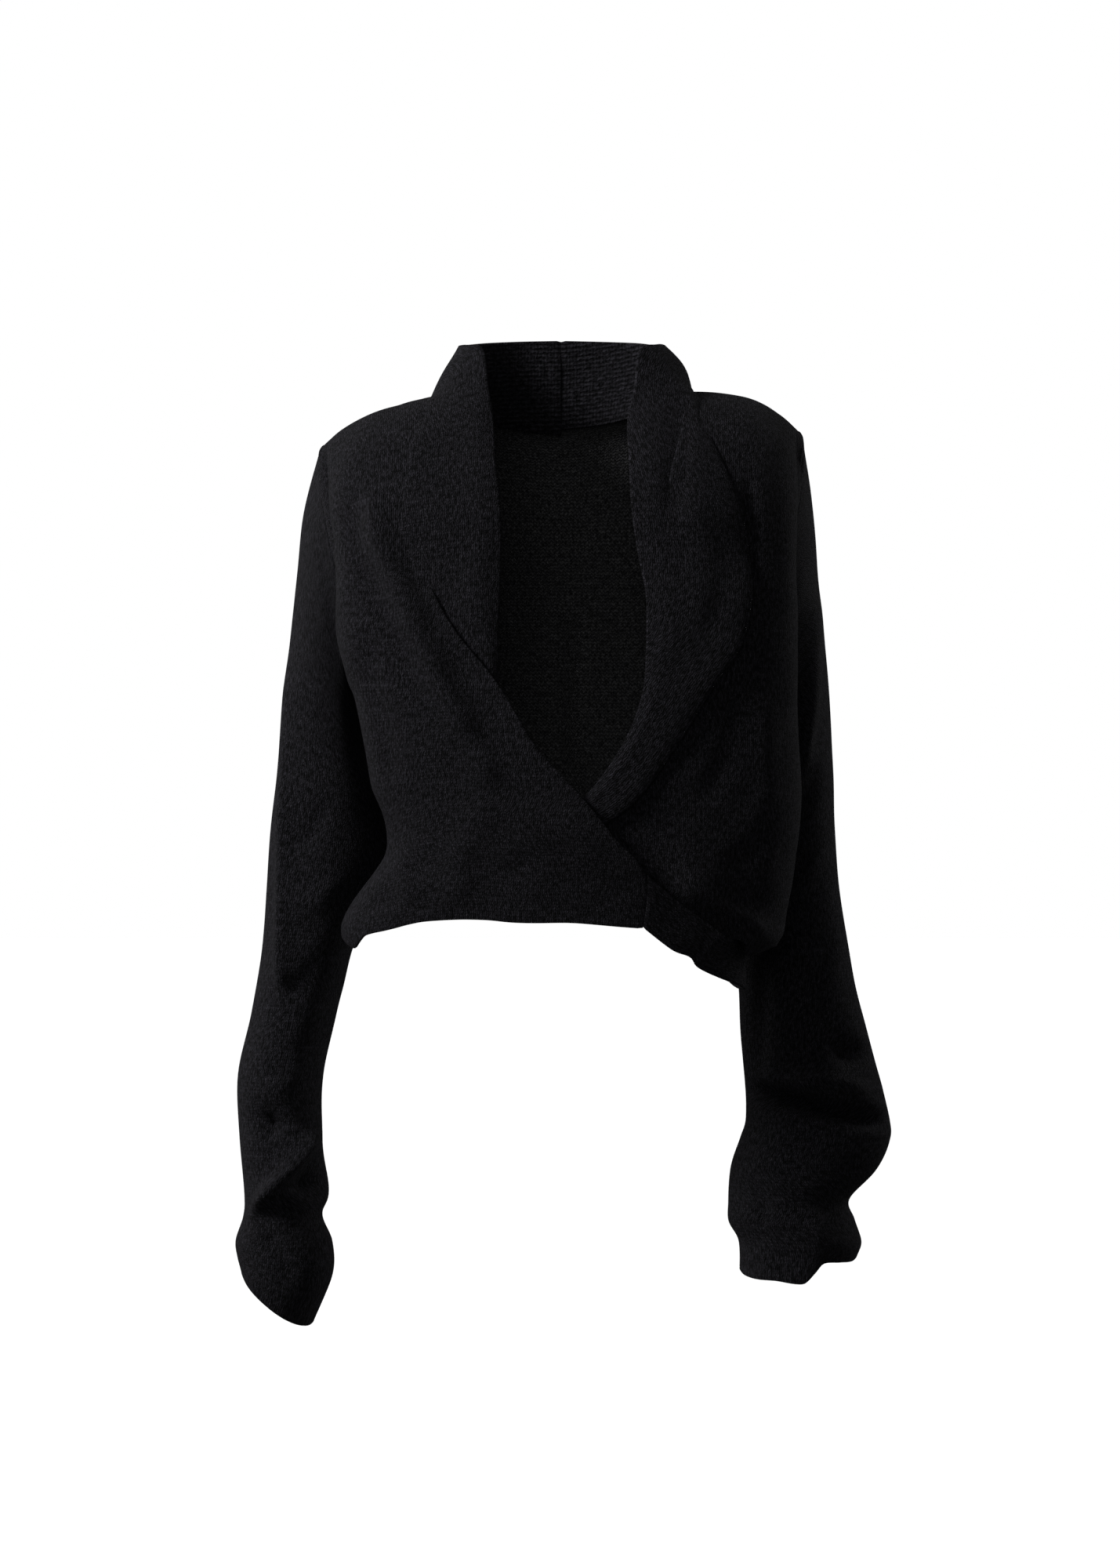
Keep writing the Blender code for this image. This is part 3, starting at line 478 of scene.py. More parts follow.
# The largest folds, as lines on the front or back view: a ridge stands out, a trough goes in
Fold = namedtuple("Fold", "face path height width")
BODY_FOLDS = (
    Fold(
        FRONT,
        (
            (-0.162, -0.085),
            (-0.151, -0.123),
            (-0.138, -0.158),
            (-0.121, -0.197),
            (-0.090, -0.264),
            (-0.072, -0.296),
        ),
        0.006,
        0.017,
    ),
    Fold(FRONT, ((-0.142, -0.373), (-0.135, -0.401), (-0.125, -0.435)), 0.004, 0.010),
    Fold(FRONT, ((-0.060, -0.330), (-0.085, -0.390), (-0.090, -0.440)), 0.003, 0.014),
    Fold(BACK, ((0.007, -0.150), (0.007, -0.250), (0.010, -0.345)), -0.007, 0.012),
    Fold(BACK, ((-0.120, -0.150), (-0.085, -0.260), (-0.070, -0.380)), 0.005, 0.018),
    Fold(BACK, ((0.125, -0.170), (0.095, -0.270), (0.075, -0.360)), 0.004, 0.016),
)
BLOUSE_FOLDS = (
    Fold(FRONT, ((0.086, -0.398), (0.100, -0.409), (0.167, -0.448), (0.186, -0.456)), 0.009, 0.010),
    Fold(FRONT, ((0.170, -0.240), (0.176, -0.330), (0.172, -0.430)), 0.003, 0.012),
)
SLEEVE_FOLDS = {
    RIGHT: (
        Fold(FRONT, ((-0.239, -0.220), (-0.241, -0.360), (-0.241, -0.520)), 0.004, 0.012),
        Fold(FRONT, ((-0.206, -0.620), (-0.236, -0.660), (-0.272, -0.702)), 0.007, 0.010),
        Fold(FRONT, ((-0.268, -0.618), (-0.236, -0.634)), -0.006, 0.010),
        Fold(FRONT, ((-0.230, -0.655), (-0.212, -0.675), (-0.206, -0.700)), -0.007, 0.010),
        Fold(BACK, ((-0.205, -0.330), (-0.225, -0.420), (-0.232, -0.520)), 0.004, 0.012),
        Fold(BACK, ((-0.275, -0.640), (-0.240, -0.655), (-0.205, -0.690)), 0.006, 0.011),
    ),
    LEFT: (
        Fold(FRONT, ((0.224, -0.150), (0.218, -0.249), (0.207, -0.320)), 0.004, 0.010),
        Fold(FRONT, ((0.177, -0.472), (0.172, -0.530), (0.170, -0.595)), -0.004, 0.008),
        Fold(FRONT, ((0.190, -0.578), (0.212, -0.583), (0.278, -0.592)), 0.006, 0.010),
        Fold(FRONT, ((0.162, -0.594), (0.222, -0.608), (0.284, -0.622)), -0.007, 0.009),
        Fold(FRONT, ((0.232, -0.562), (0.268, -0.568)), -0.006, 0.010),
        Fold(BACK, ((0.200, -0.330), (0.215, -0.440), (0.220, -0.540)), 0.004, 0.012),
        Fold(BACK, ((0.165, -0.620), (0.220, -0.610), (0.280, -0.632)), 0.006, 0.011),
    ),
}
FOLD_FADE = 0.030

# Finer creases of the visible model, added to the large folds above
CREASES = {
    "back": (
        Fold(BACK, ((0.007, -0.160), (0.007, -0.250), (0.010, -0.355)), 0.0130, 0.008),
        Fold(BACK, ((-0.150, -0.110), (-0.120, -0.200), (-0.100, -0.300)), -0.0025, 0.008),
        Fold(BACK, ((0.150, -0.120), (0.125, -0.210), (0.118, -0.330)), -0.0030, 0.008),
        Fold(BACK, ((-0.030, -0.240), (-0.045, -0.330), (-0.050, -0.420)), -0.0025, 0.009),
        Fold(BACK, ((0.060, -0.300), (0.050, -0.370), (0.048, -0.430)), -0.0022, 0.008),
        Fold(BACK, ((-0.130, -0.340), (-0.085, -0.365), (-0.030, -0.372)), 0.0022, 0.010),
        Fold(BACK, ((0.130, -0.350), (0.090, -0.385), (0.030, -0.398)), 0.0025, 0.009),
    ),
    "front_right": (
        Fold(
            FRONT,
            ((-0.166, -0.060), (-0.155, -0.115), (-0.128, -0.180), (-0.094, -0.256), (-0.050, -0.335)),
            0.0044,
            0.010,
        ),
        Fold(FRONT, ((-0.182, -0.080), (-0.172, -0.130), (-0.146, -0.190), (-0.112, -0.262)), -0.0026, 0.009),
        Fold(
            FRONT,
            ((-0.150, -0.070), (-0.139, -0.110), (-0.112, -0.172), (-0.080, -0.240), (-0.050, -0.290)),
            -0.0014,
            0.010,
        ),
        Fold(FRONT, ((-0.166, -0.185), (-0.160, -0.250), (-0.142, -0.330)), -0.0028, 0.009),
        Fold(FRONT, ((-0.110, -0.290), (-0.060, -0.352), (-0.012, -0.402)), -0.0022, 0.011),
        Fold(FRONT, ((-0.130, -0.345), (-0.085, -0.378), (-0.030, -0.392)), 0.0022, 0.010),
        Fold(FRONT, ((-0.152, -0.385), (-0.120, -0.398), (-0.080, -0.410)), -0.0026, 0.008),
        Fold(FRONT, ((-0.178, -0.428), (-0.150, -0.424), (-0.122, -0.432)), -0.0030, 0.007),
        Fold(FRONT, ((-0.150, -0.045), (-0.160, -0.075), (-0.176, -0.102)), -0.0022, 0.009),
        Fold(FRONT, ((-0.014, -0.338), (0.016, -0.372), (0.038, -0.414)), 0.0018, 0.010),
    ),
    "front_left": (
        Fold(FRONT, ((0.159, -0.055), (0.161, -0.110), (0.160, -0.168)), -0.0035, 0.007),
        Fold(FRONT, ((0.150, -0.250), (0.140, -0.300), (0.118, -0.350)), -0.0022, 0.010),
        Fold(FRONT, ((0.184, -0.330), (0.168, -0.380), (0.128, -0.404)), -0.0028, 0.009),
        Fold(FRONT, ((0.088, -0.380), (0.122, -0.402), (0.160, -0.420)), 0.0022, 0.009),
    ),
    "sleeve_right": (
        Fold(FRONT, ((-0.240, -0.200), (-0.241, -0.360), (-0.242, -0.520)), 0.0060, 0.0055),
        Fold(FRONT, ((-0.200, -0.616), (-0.232, -0.656), (-0.276, -0.712)), 0.0080, 0.006),
        Fold(FRONT, ((-0.280, -0.610), (-0.228, -0.630)), -0.0100, 0.010),
        Fold(FRONT, ((-0.244, -0.672), (-0.200, -0.676)), -0.0085, 0.008),
        Fold(FRONT, ((-0.272, -0.716), (-0.236, -0.730)), -0.0060, 0.008),
        Fold(FRONT, ((-0.196, -0.330), (-0.218, -0.372), (-0.248, -0.392)), -0.0028, 0.008),
        Fold(FRONT, ((-0.186, -0.400), (-0.212, -0.428), (-0.250, -0.440)), 0.0026, 0.009),
        Fold(FRONT, ((-0.200, -0.468), (-0.226, -0.500), (-0.262, -0.512)), -0.0024, 0.009),
        Fold(FRONT, ((-0.216, -0.560), (-0.240, -0.588), (-0.274, -0.596)), 0.0028, 0.008),
        Fold(FRONT, ((-0.262, -0.712), (-0.244, -0.735), (-0.226, -0.772)), -0.0028, 0.008),
        Fold(BACK, ((-0.190, -0.380), (-0.218, -0.404), (-0.250, -0.410)), -0.0030, 0.009),
        Fold(BACK, ((-0.206, -0.520), (-0.238, -0.545), (-0.272, -0.552)), 0.0028, 0.009),
        Fold(BACK, ((-0.268, -0.716), (-0.246, -0.742), (-0.224, -0.768)), -0.0026, 0.008),
    ),
    "sleeve_left": (
        Fold(FRONT, ((0.188, -0.580), (0.212, -0.586), (0.276, -0.596)), 0.0050, 0.007),
        Fold(FRONT, ((0.150, -0.590), (0.200, -0.601), (0.240, -0.610), (0.296, -0.624)), -0.0150, 0.006),
        Fold(FRONT, ((0.224, -0.552), (0.284, -0.566)), -0.0130, 0.009),
        Fold(FRONT, ((0.224, -0.160), (0.218, -0.249), (0.207, -0.320)), 0.0030, 0.006),
        Fold(FRONT, ((0.232, -0.300), (0.210, -0.345), (0.182, -0.372)), -0.0030, 0.008),
        Fold(FRONT, ((0.236, -0.375), (0.206, -0.420), (0.176, -0.440)), 0.0026, 0.009),
        Fold(FRONT, ((0.244, -0.450), (0.222, -0.492), (0.196, -0.520)), -0.0024, 0.009),
        Fold(FRONT, ((0.168, -0.655), (0.176, -0.690), (0.174, -0.728)), -0.0026, 0.008),
        Fold(FRONT, ((0.226, -0.690), (0.222, -0.715), (0.228, -0.738)), 0.0026, 0.008),
        Fold(BACK, ((0.236, -0.380), (0.205, -0.408), (0.170, -0.418)), -0.0030, 0.009),
        Fold(BACK, ((0.256, -0.520), (0.214, -0.548), (0.174, -0.556)), 0.0028, 0.009),
        Fold(BACK, ((0.240, -0.690), (0.205, -0.702), (0.165, -0.696)), -0.0028, 0.008),
    ),
    "collar_right": (
        Fold(FRONT, ((-0.088, -0.020), (-0.092, -0.060), (-0.090, -0.110)), -0.0016, 0.012),
        Fold(FRONT, ((-0.070, -0.120), (-0.076, -0.180), (-0.070, -0.240)), 0.0016, 0.010),
    ),
    "collar_left": (
        Fold(FRONT, ((0.103, 0.015), (0.100, -0.048), (0.092, -0.112)), -0.0044, 0.010),
        Fold(FRONT, ((0.112, -0.070), (0.118, -0.130), (0.112, -0.190)), 0.0022, 0.014),
        Fold(FRONT, ((0.140, -0.100), (0.138, -0.160), (0.120, -0.215)), -0.0014, 0.010),
    ),
    "tie": (),
}

# How far the left half's outer edge sinks, from the tip up: above the chest it runs into the front
Sink = namedtuple("Sink", "z depth")
COLLAR_SINK = (
    Sink(-0.320, 0.0013),
    Sink(-0.170, 0.0015),
    Sink(-0.131, 0.0034),
    Sink(-0.093, 0.0029),
    Sink(-0.030, 0.0027),
    Sink(-0.020, 0.0046),
    Sink(0.060, 0.0036),
)

# How far the left cuff's edge lies above its form, from the inside to the outside, and where that dies out
Rise = namedtuple("Rise", "x rise")
CUFF_RISE = (
    Rise(0.150, 0.0),
    Rise(0.160, -0.0020),
    Rise(0.185, -0.0020),
    Rise(0.205, -0.0062),
    Rise(0.2125, -0.0062),
    Rise(0.2216, 0.0014),
    Rise(0.2285, 0.0075),
    Rise(0.2442, 0.0038),
    Rise(0.256, -0.0012),
    Rise(0.262, -0.0012),
)
CUFF_RISE_HEIGHT = 0.026

# Slow waves that keep the cloth from lying perfectly even: length of a wave across and along, and its start
Wave = namedtuple("Wave", "across along start")
WAVES = (
    Wave(0.083, 0.190, 0.4),
    Wave(-0.121, 0.097, 1.9),
    Wave(0.052, -0.143, 3.1),
    Wave(0.205, 0.061, 4.6),
)

# Width and length in metres that each piece is cut to, and its area where it isn't a rectangle
Cut = namedtuple("Cut", "width length area")


def mix(first, second, share):
    return first + (second - first) * share


def ease(share):
    """Rises from 0 to 1 with level ends."""
    share = min(max(share, 0.0), 1.0)
    return share * share * (3.0 - 2.0 * share)


def slope(keys, values, index):
    """The slope of a smooth curve at one row of a table."""
    before = max(index - 1, 0)
    after = min(index + 1, len(keys) - 1)
    return (values[after] - values[before]) / (keys[after] - keys[before])


def curve(share, before, start, after, end):
    """A smooth curve from one value to the next, with its slopes at both."""
    cube = share**3
    square = share**2
    return (
        before * (2 * cube - 3 * square + 1)
        + start * (cube - 2 * square + share)
        + after * (3 * square - 2 * cube)
        + end * (cube - square)
    )


def read(table, column, at):
    """A column of a table at any key, on a smooth curve through its rows."""
    rows = sorted(table, key=lambda row: row[0])
    keys = [row[0] for row in rows]
    values = [getattr(row, column) for row in rows]
    if at <= keys[0]:
        return values[0]
    if at >= keys[-1]:
        return values[-1]
    index = max(i for i, key in enumerate(keys) if key <= at)
    span = keys[index + 1] - keys[index]
    share = (at - keys[index]) / span
    start = slope(keys, values, index) * span
    end = slope(keys, values, index + 1) * span
    return curve(share, values[index], start, values[index + 1], end)


def side_of(across):
    return LEFT if across >= 0 else RIGHT


def side_column(side):
    return "left" if side == LEFT else "right"


def ring_point(side, ring, angle):
    """A point of a sleeve's ring: angle 0 at its outer point, then forwards, then its inner point."""
    outer = Vector((side * ring.outer, 0.0, ring.outer_z))
    inner = Vector((side * ring.inner, 0.0, ring.inner_z))
    half = (outer - inner) / 2
    along = Vector((side * half.z, 0.0, -side * half.x)).normalized()
    point = (outer + inner) / 2 + half * math.cos(angle) + along * ring.bow * abs(math.sin(angle))
    point.y = ring.middle - ring.depth * math.sin(angle)
    return point


def armhole_point(face, side, row):
    """The seam between a panel and its sleeve, from the underarm up to the shoulder."""
    share = (row - HEM_ROWS) / (TOP_ROW - HEM_ROWS)
    angle = math.pi * (1 - share)
    return ring_point(side, SLEEVE[side][0], -face * angle)


def spread(across):
    """How far out and how far forward a place across lies, 0 to 1, and how far past the turn."""
    place = abs(across)
    if place <= CORNER:
        angle = place / CORNER * math.pi / 2
        return math.sin(angle) ** (2 / FULLNESS), math.cos(angle) ** (2 / FULLNESS), 0.0
    return 1.0, 0.0, (place - CORNER) / (1 - CORNER)


def section_point(face, across, height, seam=None):
    """A point of the form's level section: a full curve to the turn, then a fold back to the seam."""
    side = side_of(across)
    column = side_column(side)
    table = TURN if face == FRONT else BACK_TURN
    turn = Vector((side * read(table, column, height), read(table, "y", height), height))
    out, forward, turned = spread(across)
    if turned == 0.0:
        middle = face * read(CENTRE, "front" if face == FRONT else "back", height)
        return Vector((turn.x * out, mix(turn.y, middle, forward), height))
    if seam is None:
        seam = Vector((side * read(SIDE_SEAM, column, height), read(SIDE_SEAM, "y", height), height))
    back = Vector((turn.x, mix(turn.y, seam.y, FOLD_START), height))
    inward = Vector((mix(seam.x, turn.x, FOLD_IN), mix(seam.y, turn.y, FOLD_END), height))
    first = mix(turn, back, turned)
    second = mix(back, inward, turned)
    third = mix(inward, seam, turned)
    point = mix(mix(first, second, turned), mix(second, third, turned), turned)
    point.z = height
    return point


def neckline_height(side, distance):
    """The height of the back neckline, which meets the shoulder line of its own side."""
    level = read(SHOULDER, side_column(side), NECK_HALF_WIDTH) - BACK_NECK[-1].height
    return read(BACK_NECK, "height", distance) + level * (distance / NECK_HALF_WIDTH) ** 2


def top_point(face, across):
    """A point of the shoulder line, or of the back neckline between the shoulders."""
    side = side_of(across)
    out, _, turned = spread(across)
    distance = SHOULDER_HALF_WIDTH * mix(SHOULDER_CORNER * out, 1.0, turned)
    height = read(SHOULDER, side_column(side), distance)
    y = read(SHOULDER, "y", distance)
    if face == BACK and distance < NECK_HALF_WIDTH:
        height = neckline_height(side, distance)
        y = read(BACK_NECK, "y", distance)
    return Vector((side * distance, y, height))


def hem_height(hem, across, width):
    side = side_of(across)
    out, _, turned = spread(across)
    height = read(hem, "height", side * out * width)
    return mix(height, SIDE_SEAM_HEM, turned)


def cap_angle(row):
    """How far a row has gone over the shoulder, with the rows closer together near the seam."""
    share = (row - CHEST_ROW) / CAP_ROWS
    return (1 - (1 - share) ** CAP_CROWDING) * math.pi / 2


def bare_form(face, hem, across, row):
    """The form without its fit to the armhole."""
    if row <= HEM_ROWS:
        turns = TURN if face == FRONT else BACK_TURN
        width = read(turns, side_column(side_of(across)), SIDE_SEAM_HEM)
        start = hem_height(hem, across, width)
        height = mix(start, UNDERARM_HEIGHT, (row / HEM_ROWS) ** ROW_CROWDING)
        return section_point(face, across, height)
    if row <= CHEST_ROW:
        height = mix(UNDERARM_HEIGHT, CHEST_HEIGHT, (row - HEM_ROWS) / ARMHOLE_ROWS)
        return section_point(face, across, height, armhole_point(face, side_of(across), row))
    angle = cap_angle(row)
    base = section_point(face, across, CHEST_HEIGHT, armhole_point(face, side_of(across), CHEST_ROW))
    top = top_point(face, across)
    return Vector(
        (
            mix(base.x, top.x, math.sin(angle)),
            mix(top.y, base.y, math.cos(angle)),
            mix(base.z, top.z, math.sin(angle)),
        )
    )


def form_point(face, hem, across, row):
    """A point of the body's form: the panels lie on it."""
    point = bare_form(face, hem, across, row)
    if row <= HEM_ROWS:
        return point
    side = side_of(across)
    miss = armhole_point(face, side, row) - bare_form(face, hem, side, row)
    return point + miss * ease((abs(across) - SEAM_REACH) / (1 - SEAM_REACH))


def solve(low, high, error):
    """Where a rising function is nought, by halving."""
    for _ in range(HALVINGS):
        middle = (low + high) / 2
        if error(middle) < 0:
            low = middle
        else:
            high = middle
    return (low + high) / 2


def place_on_form(face, hem, x, target, axis="z", lowest=0):
    """The place across and the row of the form's point with this x and z, or this x and y on the cap."""

    def miss(value):
        return getattr(form_point(face, hem, across, value), axis) - target

    across = 0.5 * side_of(x)
    for _ in range(SEARCH_PASSES):
        row = solve(lowest, TOP_ROW, miss)
        across = solve(-CORNER, CORNER, lambda value: form_point(face, hem, value, row).x - x)
    return across, row


def edge_place(hem, edge, row):
    """The place across where a row meets the edge of a front."""

    def past(value):
        point = form_point(FRONT, hem, value, row)
        return point.x - read(edge, "x", point.z)

    return solve(-CORNER, CORNER, past)


def over_lift(point):
    distance = read(OVER_EDGE, "x", point.z) - point.x
    fade = 1 - ease((distance - OVER_LIFT_FULL) / (OVER_LIFT_FADE - OVER_LIFT_FULL))
    return read(OVER_LIFT, "lift", point.z) * fade


def raised(hem, across, row, lift):
    """A point of the front's form, moved out from it."""
    point = form_point(FRONT, hem, across, row)
    sideways = form_point(FRONT, hem, across + STEP_ACROSS, row) - point
    above = form_point(FRONT, hem, across, min(row + STEP_UP, TOP_ROW))
    below = form_point(FRONT, hem, across, row - STEP_UP)
    return point + sideways.cross(above - below).normalized() * lift


def neck_line(station, side, hem):
    """The points across the collar at one place round the neck."""
    x = side * station.seam_x
    if station.seam_y is None:
        height = neckline_height(side, station.seam_x)
        seam = Vector((x, read(BACK_NECK, "y", station.seam_x), height + station.lift))
    else:
        across, row = place_on_form(FRONT, hem, x, station.seam_y, "y", CHEST_ROW)
        seam = raised(hem, across, row, station.lift)
    edge = Vector((side * station.edge_x, station.edge_y, station.edge_z))
    away = Vector((seam.x, seam.y - NECK_CENTRE, 0.0)).normalized()
    line = []
    for j in range(COLLAR_COLUMNS + 1):
        share = j / COLLAR_COLUMNS
        swell = station.swell * SWELL_SHARE[side]
        line.append(mix(seam, edge, share) + away * swell * math.sin(math.pi * share))
    return line


def chest_line(station, hem):
    """The points across the collar at one place on the chest."""
    line = []
    for j in range(COLLAR_COLUMNS + 1):
        share = j / COLLAR_COLUMNS
        x = mix(station.outer_x, station.inner_x, share)
        height = mix(station.outer_z, station.inner_z, share)
        across, row = place_on_form(FRONT, hem, x, height)
        curl = COLLAR_CURL if j == COLLAR_COLUMNS else 0.0
        line.append(raised(hem, across, row, station.lift - curl))
    return line


def tie_line(station):
    """The points from the tie's bottom to its top at one place along it."""
    line = []
    for j in range(TIE_COLUMNS + 1):
        height = mix(station.bottom_z, station.top_z, j / TIE_COLUMNS)
        if station.face is None:
            line.append(Vector((station.x, station.y, height)))
            continue
        hem = UNDER_HEM if station.face == FRONT else BACK_HEM
        x = station.x or read(OVER_EDGE, "x", height) + SEAM_GAP
        across, _ = place_on_form(station.face, hem, x, max(height, TIE_HEM_HEIGHT))
        point = section_point(station.face, across, height)
        beside = section_point(station.face, across + TIE_STEP_ACROSS, height)
        out = Vector((0.0, 0.0, 1.0)).cross(beside - point).normalized()
        if out.y * station.face < 0:
            out.negate()
        line.append(point + out * station.lift)
    return line


def smoothed(points, steps, closed=False):
    """Points on smooth curves through the first axis of an array, several for each span."""
    count = len(points)
    index = np.arange(count * steps if closed else (count - 1) * steps + 1)
    whole = index // steps
    if not closed:
        whole = np.minimum(whole, count - 2)
    share = ((index - whole * steps) / steps)[:, None, None]

    def pick(offset):
        place = whole + offset
        return points[place % count] if closed else points[np.clip(place, 0, count - 1)]

    start = (pick(1) - pick(-1)) / 2
    end = (pick(2) - pick(0)) / 2
    return curve(share, pick(0), start, pick(1), end)


def finer(grid, rows, columns, closed=False):
    """A grid of points with smooth points added between its own."""
    points = smoothed(np.array(grid), rows)
    return smoothed(points.swapaxes(0, 1), columns, closed).swapaxes(0, 1)


def unit(vectors):
    return vectors / np.maximum(np.linalg.norm(vectors, axis=-1, keepdims=True), 1e-12)


def normals_of(points, closed=False):
    """Unit normals of a grid, outwards where its columns turn left from its rows."""
    if closed:
        along = np.roll(points, -1, axis=1) - np.roll(points, 1, axis=1)
    else:
        along = np.gradient(points, axis=1)
    return unit(np.cross(along, np.gradient(points, axis=0)))


def eased(share):
    share = np.clip(share, 0.0, 1.0)
    return share * share * (3.0 - 2.0 * share)


def fold_heights(points, fold):
    """How far a fold moves each point, by its distance from the fold's path in the view that shows it."""
    nearest = np.full(points.shape[:-1], np.inf)
    at = np.zeros(points.shape[:-1])
    length = 0.0
    for start, end in zip(fold.path, fold.path[1:]):
        step_x = end[0] - start[0]
        step_z = end[1] - start[1]
        span = math.hypot(step_x, step_z)
        offset_x = points[..., 0] - start[0]
        offset_z = points[..., 2] - start[1]
        share = np.clip((offset_x * step_x + offset_z * step_z) / span**2, 0.0, 1.0)
        away = np.hypot(offset_x - share * step_x, offset_z - share * step_z)
        at = np.where(away < nearest, length + share * span, at)
        nearest = np.minimum(nearest, away)
        length += span
    reach = np.minimum(at, length - at)
    return fold.height * np.exp(-((nearest / fold.width) ** 2)) * eased(reach / FOLD_FADE)


def folded(points, folds, strength, closed=False):
    """The grid moved out along its normals by its folds."""
    normals = normals_of(points, closed)
    height = np.zeros(points.shape[:-1])
    for fold in folds:
        height += strength * fold_heights(points, fold) * np.maximum(normals[..., 1] * fold.face, 0.0)
    return points + normals * height[..., None]


def lengths(points, closed=False):
    """Distance along each row, and the mean distance along the columns, in metres."""
    steps = np.linalg.norm(np.diff(points, axis=1), axis=-1)
    if closed:
        last = np.linalg.norm(points[:, :1] - points[:, -1:], axis=-1)
        steps = np.concatenate((steps, last), axis=1)
    along = np.concatenate((np.zeros((len(points), 1)), np.cumsum(steps, axis=1)), axis=1)
    rises = np.linalg.norm(np.diff(points, axis=0), axis=-1).mean(axis=1)
    up = np.concatenate(((0.0,), np.cumsum(rises)))
    return along, up


def uneven(points, along, up, height, closed=False):
    """The grid with slow waves of a small height, so that no stretch of cloth is perfectly even."""
    columns = points.shape[1]
    across = along[:, :columns]
    relief = np.zeros(across.shape)
    for wave in WAVES:
        phase = math.tau * (across / wave.across + up[:, None] / wave.along) + wave.start
        relief += np.sin(phase + WANDER * np.sin(phase * WANDER_RATE + wave.start))
    relief /= len(WAVES)
    if closed:
        turn = np.arange(columns) / columns
        relief *= np.sin(math.pi * turn) ** 0.5
    return points + normals_of(points, closed) * (height * relief)[..., None]


# Each border of a grid, and the row or column beside it
BORDERS = {
    "left": (np.s_[:, 0], np.s_[:, 1]),
    "right": (np.s_[:, -1], np.s_[:, -2]),
    "bottom": (0, 1),
    "top": (-1, -2),
}


def border_loop(rows, columns):
    """Indices of the vertices round a grid: bottom, right, top, left."""
    loop = [(0, j) for j in range(columns)]
    loop += [(i, columns - 1) for i in range(1, rows)]
    loop += [(rows - 1, j) for j in range(columns - 2, -1, -1)]
    loop += [(i, 0) for i in range(rows - 2, 0, -1)]
    return loop


def sides_of(i, j, rows, columns):
    """Names of the borders that a vertex lies on."""
    borders = {"bottom": i == 0, "top": i == rows - 1, "left": j == 0, "right": j == columns - 1}
    return {name for name, lies_on in borders.items() if lies_on}


def rim_points(outer, inner, loop, sewn, closed):
    """Three rows of points that round off the edge of a wall; a sewn one swells into its seam."""
    rows, columns = outer.shape[:2]
    rings = ([], [], [])
    for i, j in loop:
        names = sides_of(i, j, rows, columns)
        if closed:
            names -= {"left", "right"}
        inside_i = min(max(i, 1), rows - 2) if names & {"bottom", "top"} else i
        inside_j = min(max(j, 1), columns - 2) if names & {"left", "right"} else j
        away = unit(outer[i, j] - outer[inside_i, inside_j])
        middle = (outer[i, j] + inner[i, j]) / 2
        half = (outer[i, j] - inner[i, j]) / 2
        bulge = SEAM_SWELL if names & set(sewn) else float(np.linalg.norm(half))
        for ring, angle in zip(rings, (0.25, 0.5, 0.75)):
            turn = angle * math.pi
            ring.append(middle + half * math.cos(turn) + away * bulge * math.sin(turn))
    return rings


def drawn_in(points, sides, gap):
    """The grid with the named borders drawn in."""
    points = points.copy()
    for name, (edge, beside) in BORDERS.items():
        if name in sides:
            points[edge] += unit(points[beside] - points[edge]) * gap
    return points


def wall(name, outer, materials, sewn=(), closed=False, start=None, turned=False, reach=SEAM_OVERLAP):
    """A thin closed shell of knit on a grid of points: outer face, inner face and rounded edges."""
    thickness = bpy.context.scene.sweater_sizes.wall
    rows, columns = outer.shape[:2]
    along, up = lengths(outer, closed)
    if start is not None:
        along = along - start(outer, along)
    outer = drawn_in(outer, sewn, -reach)
    inner = outer - normals_of(outer, closed) * thickness
    count = rows * columns
    points = [outer.reshape(-1, 3), inner.reshape(-1, 3)]
    faces = []
    uvs = []
    slots = []
    steps = columns if closed else columns - 1
    for i in range(rows - 1):
        for j in range(steps):
            after = (j + 1) % columns
            corners = (i * columns + j, i * columns + after, (i + 1) * columns + after, (i + 1) * columns + j)
            spots = ((along[i, j], up[i]), (along[i, j + 1], up[i]))
            spots += ((along[i + 1, j + 1], up[i + 1]), (along[i + 1, j], up[i + 1]))
            faces.append(corners)
            uvs.extend(spots)
            slots.append(0)
            faces.append(tuple(corner + count for corner in reversed(corners)))
            uvs.extend(reversed(spots))
            slots.append(1)
    if closed:
        loops = [[(0, j) for j in range(columns)], [(rows - 1, j) for j in range(columns - 1, -1, -1)]]
    else:
        loops = [border_loop(rows, columns)]
    first = 2 * count
    for loop in loops:
        rings = rim_points(outer, inner, loop, sewn, closed)
        size = len(loop)
        bands = [[i * columns + j for i, j in loop]]
        for ring in rings:
            points.append(np.array(ring))
            bands.append(list(range(first, first + size)))
            first += size
        bands.append([i * columns + j + count for i, j in loop])
        spots = [(along[i, j], up[i]) for i, j in loop]
        for low, high in zip(bands, bands[1:]):
            for k in range(size):
                after = (k + 1) % size
                faces.append((low[after], low[k], high[k], high[after]))
                uvs.extend((spots[after], spots[k], spots[k], spots[after]))
                slots.append(0)
    mesh = bpy.data.meshes.new(name)
    mesh.from_pydata(np.concatenate(points).tolist(), [], faces)
    layer = mesh.uv_layers.new(name="knit")
    places = np.array(uvs)
    layer.data.foreach_set("uv", (places[:, ::-1] if turned else places).ravel())
    for material in materials:
        mesh.materials.append(material)
    mesh.polygons.foreach_set("material_index", slots)
    mesh.shade_smooth()
    piece = bpy.data.objects.new(name, mesh)
    bpy.context.scene.collection.objects.link(piece)
    return piece


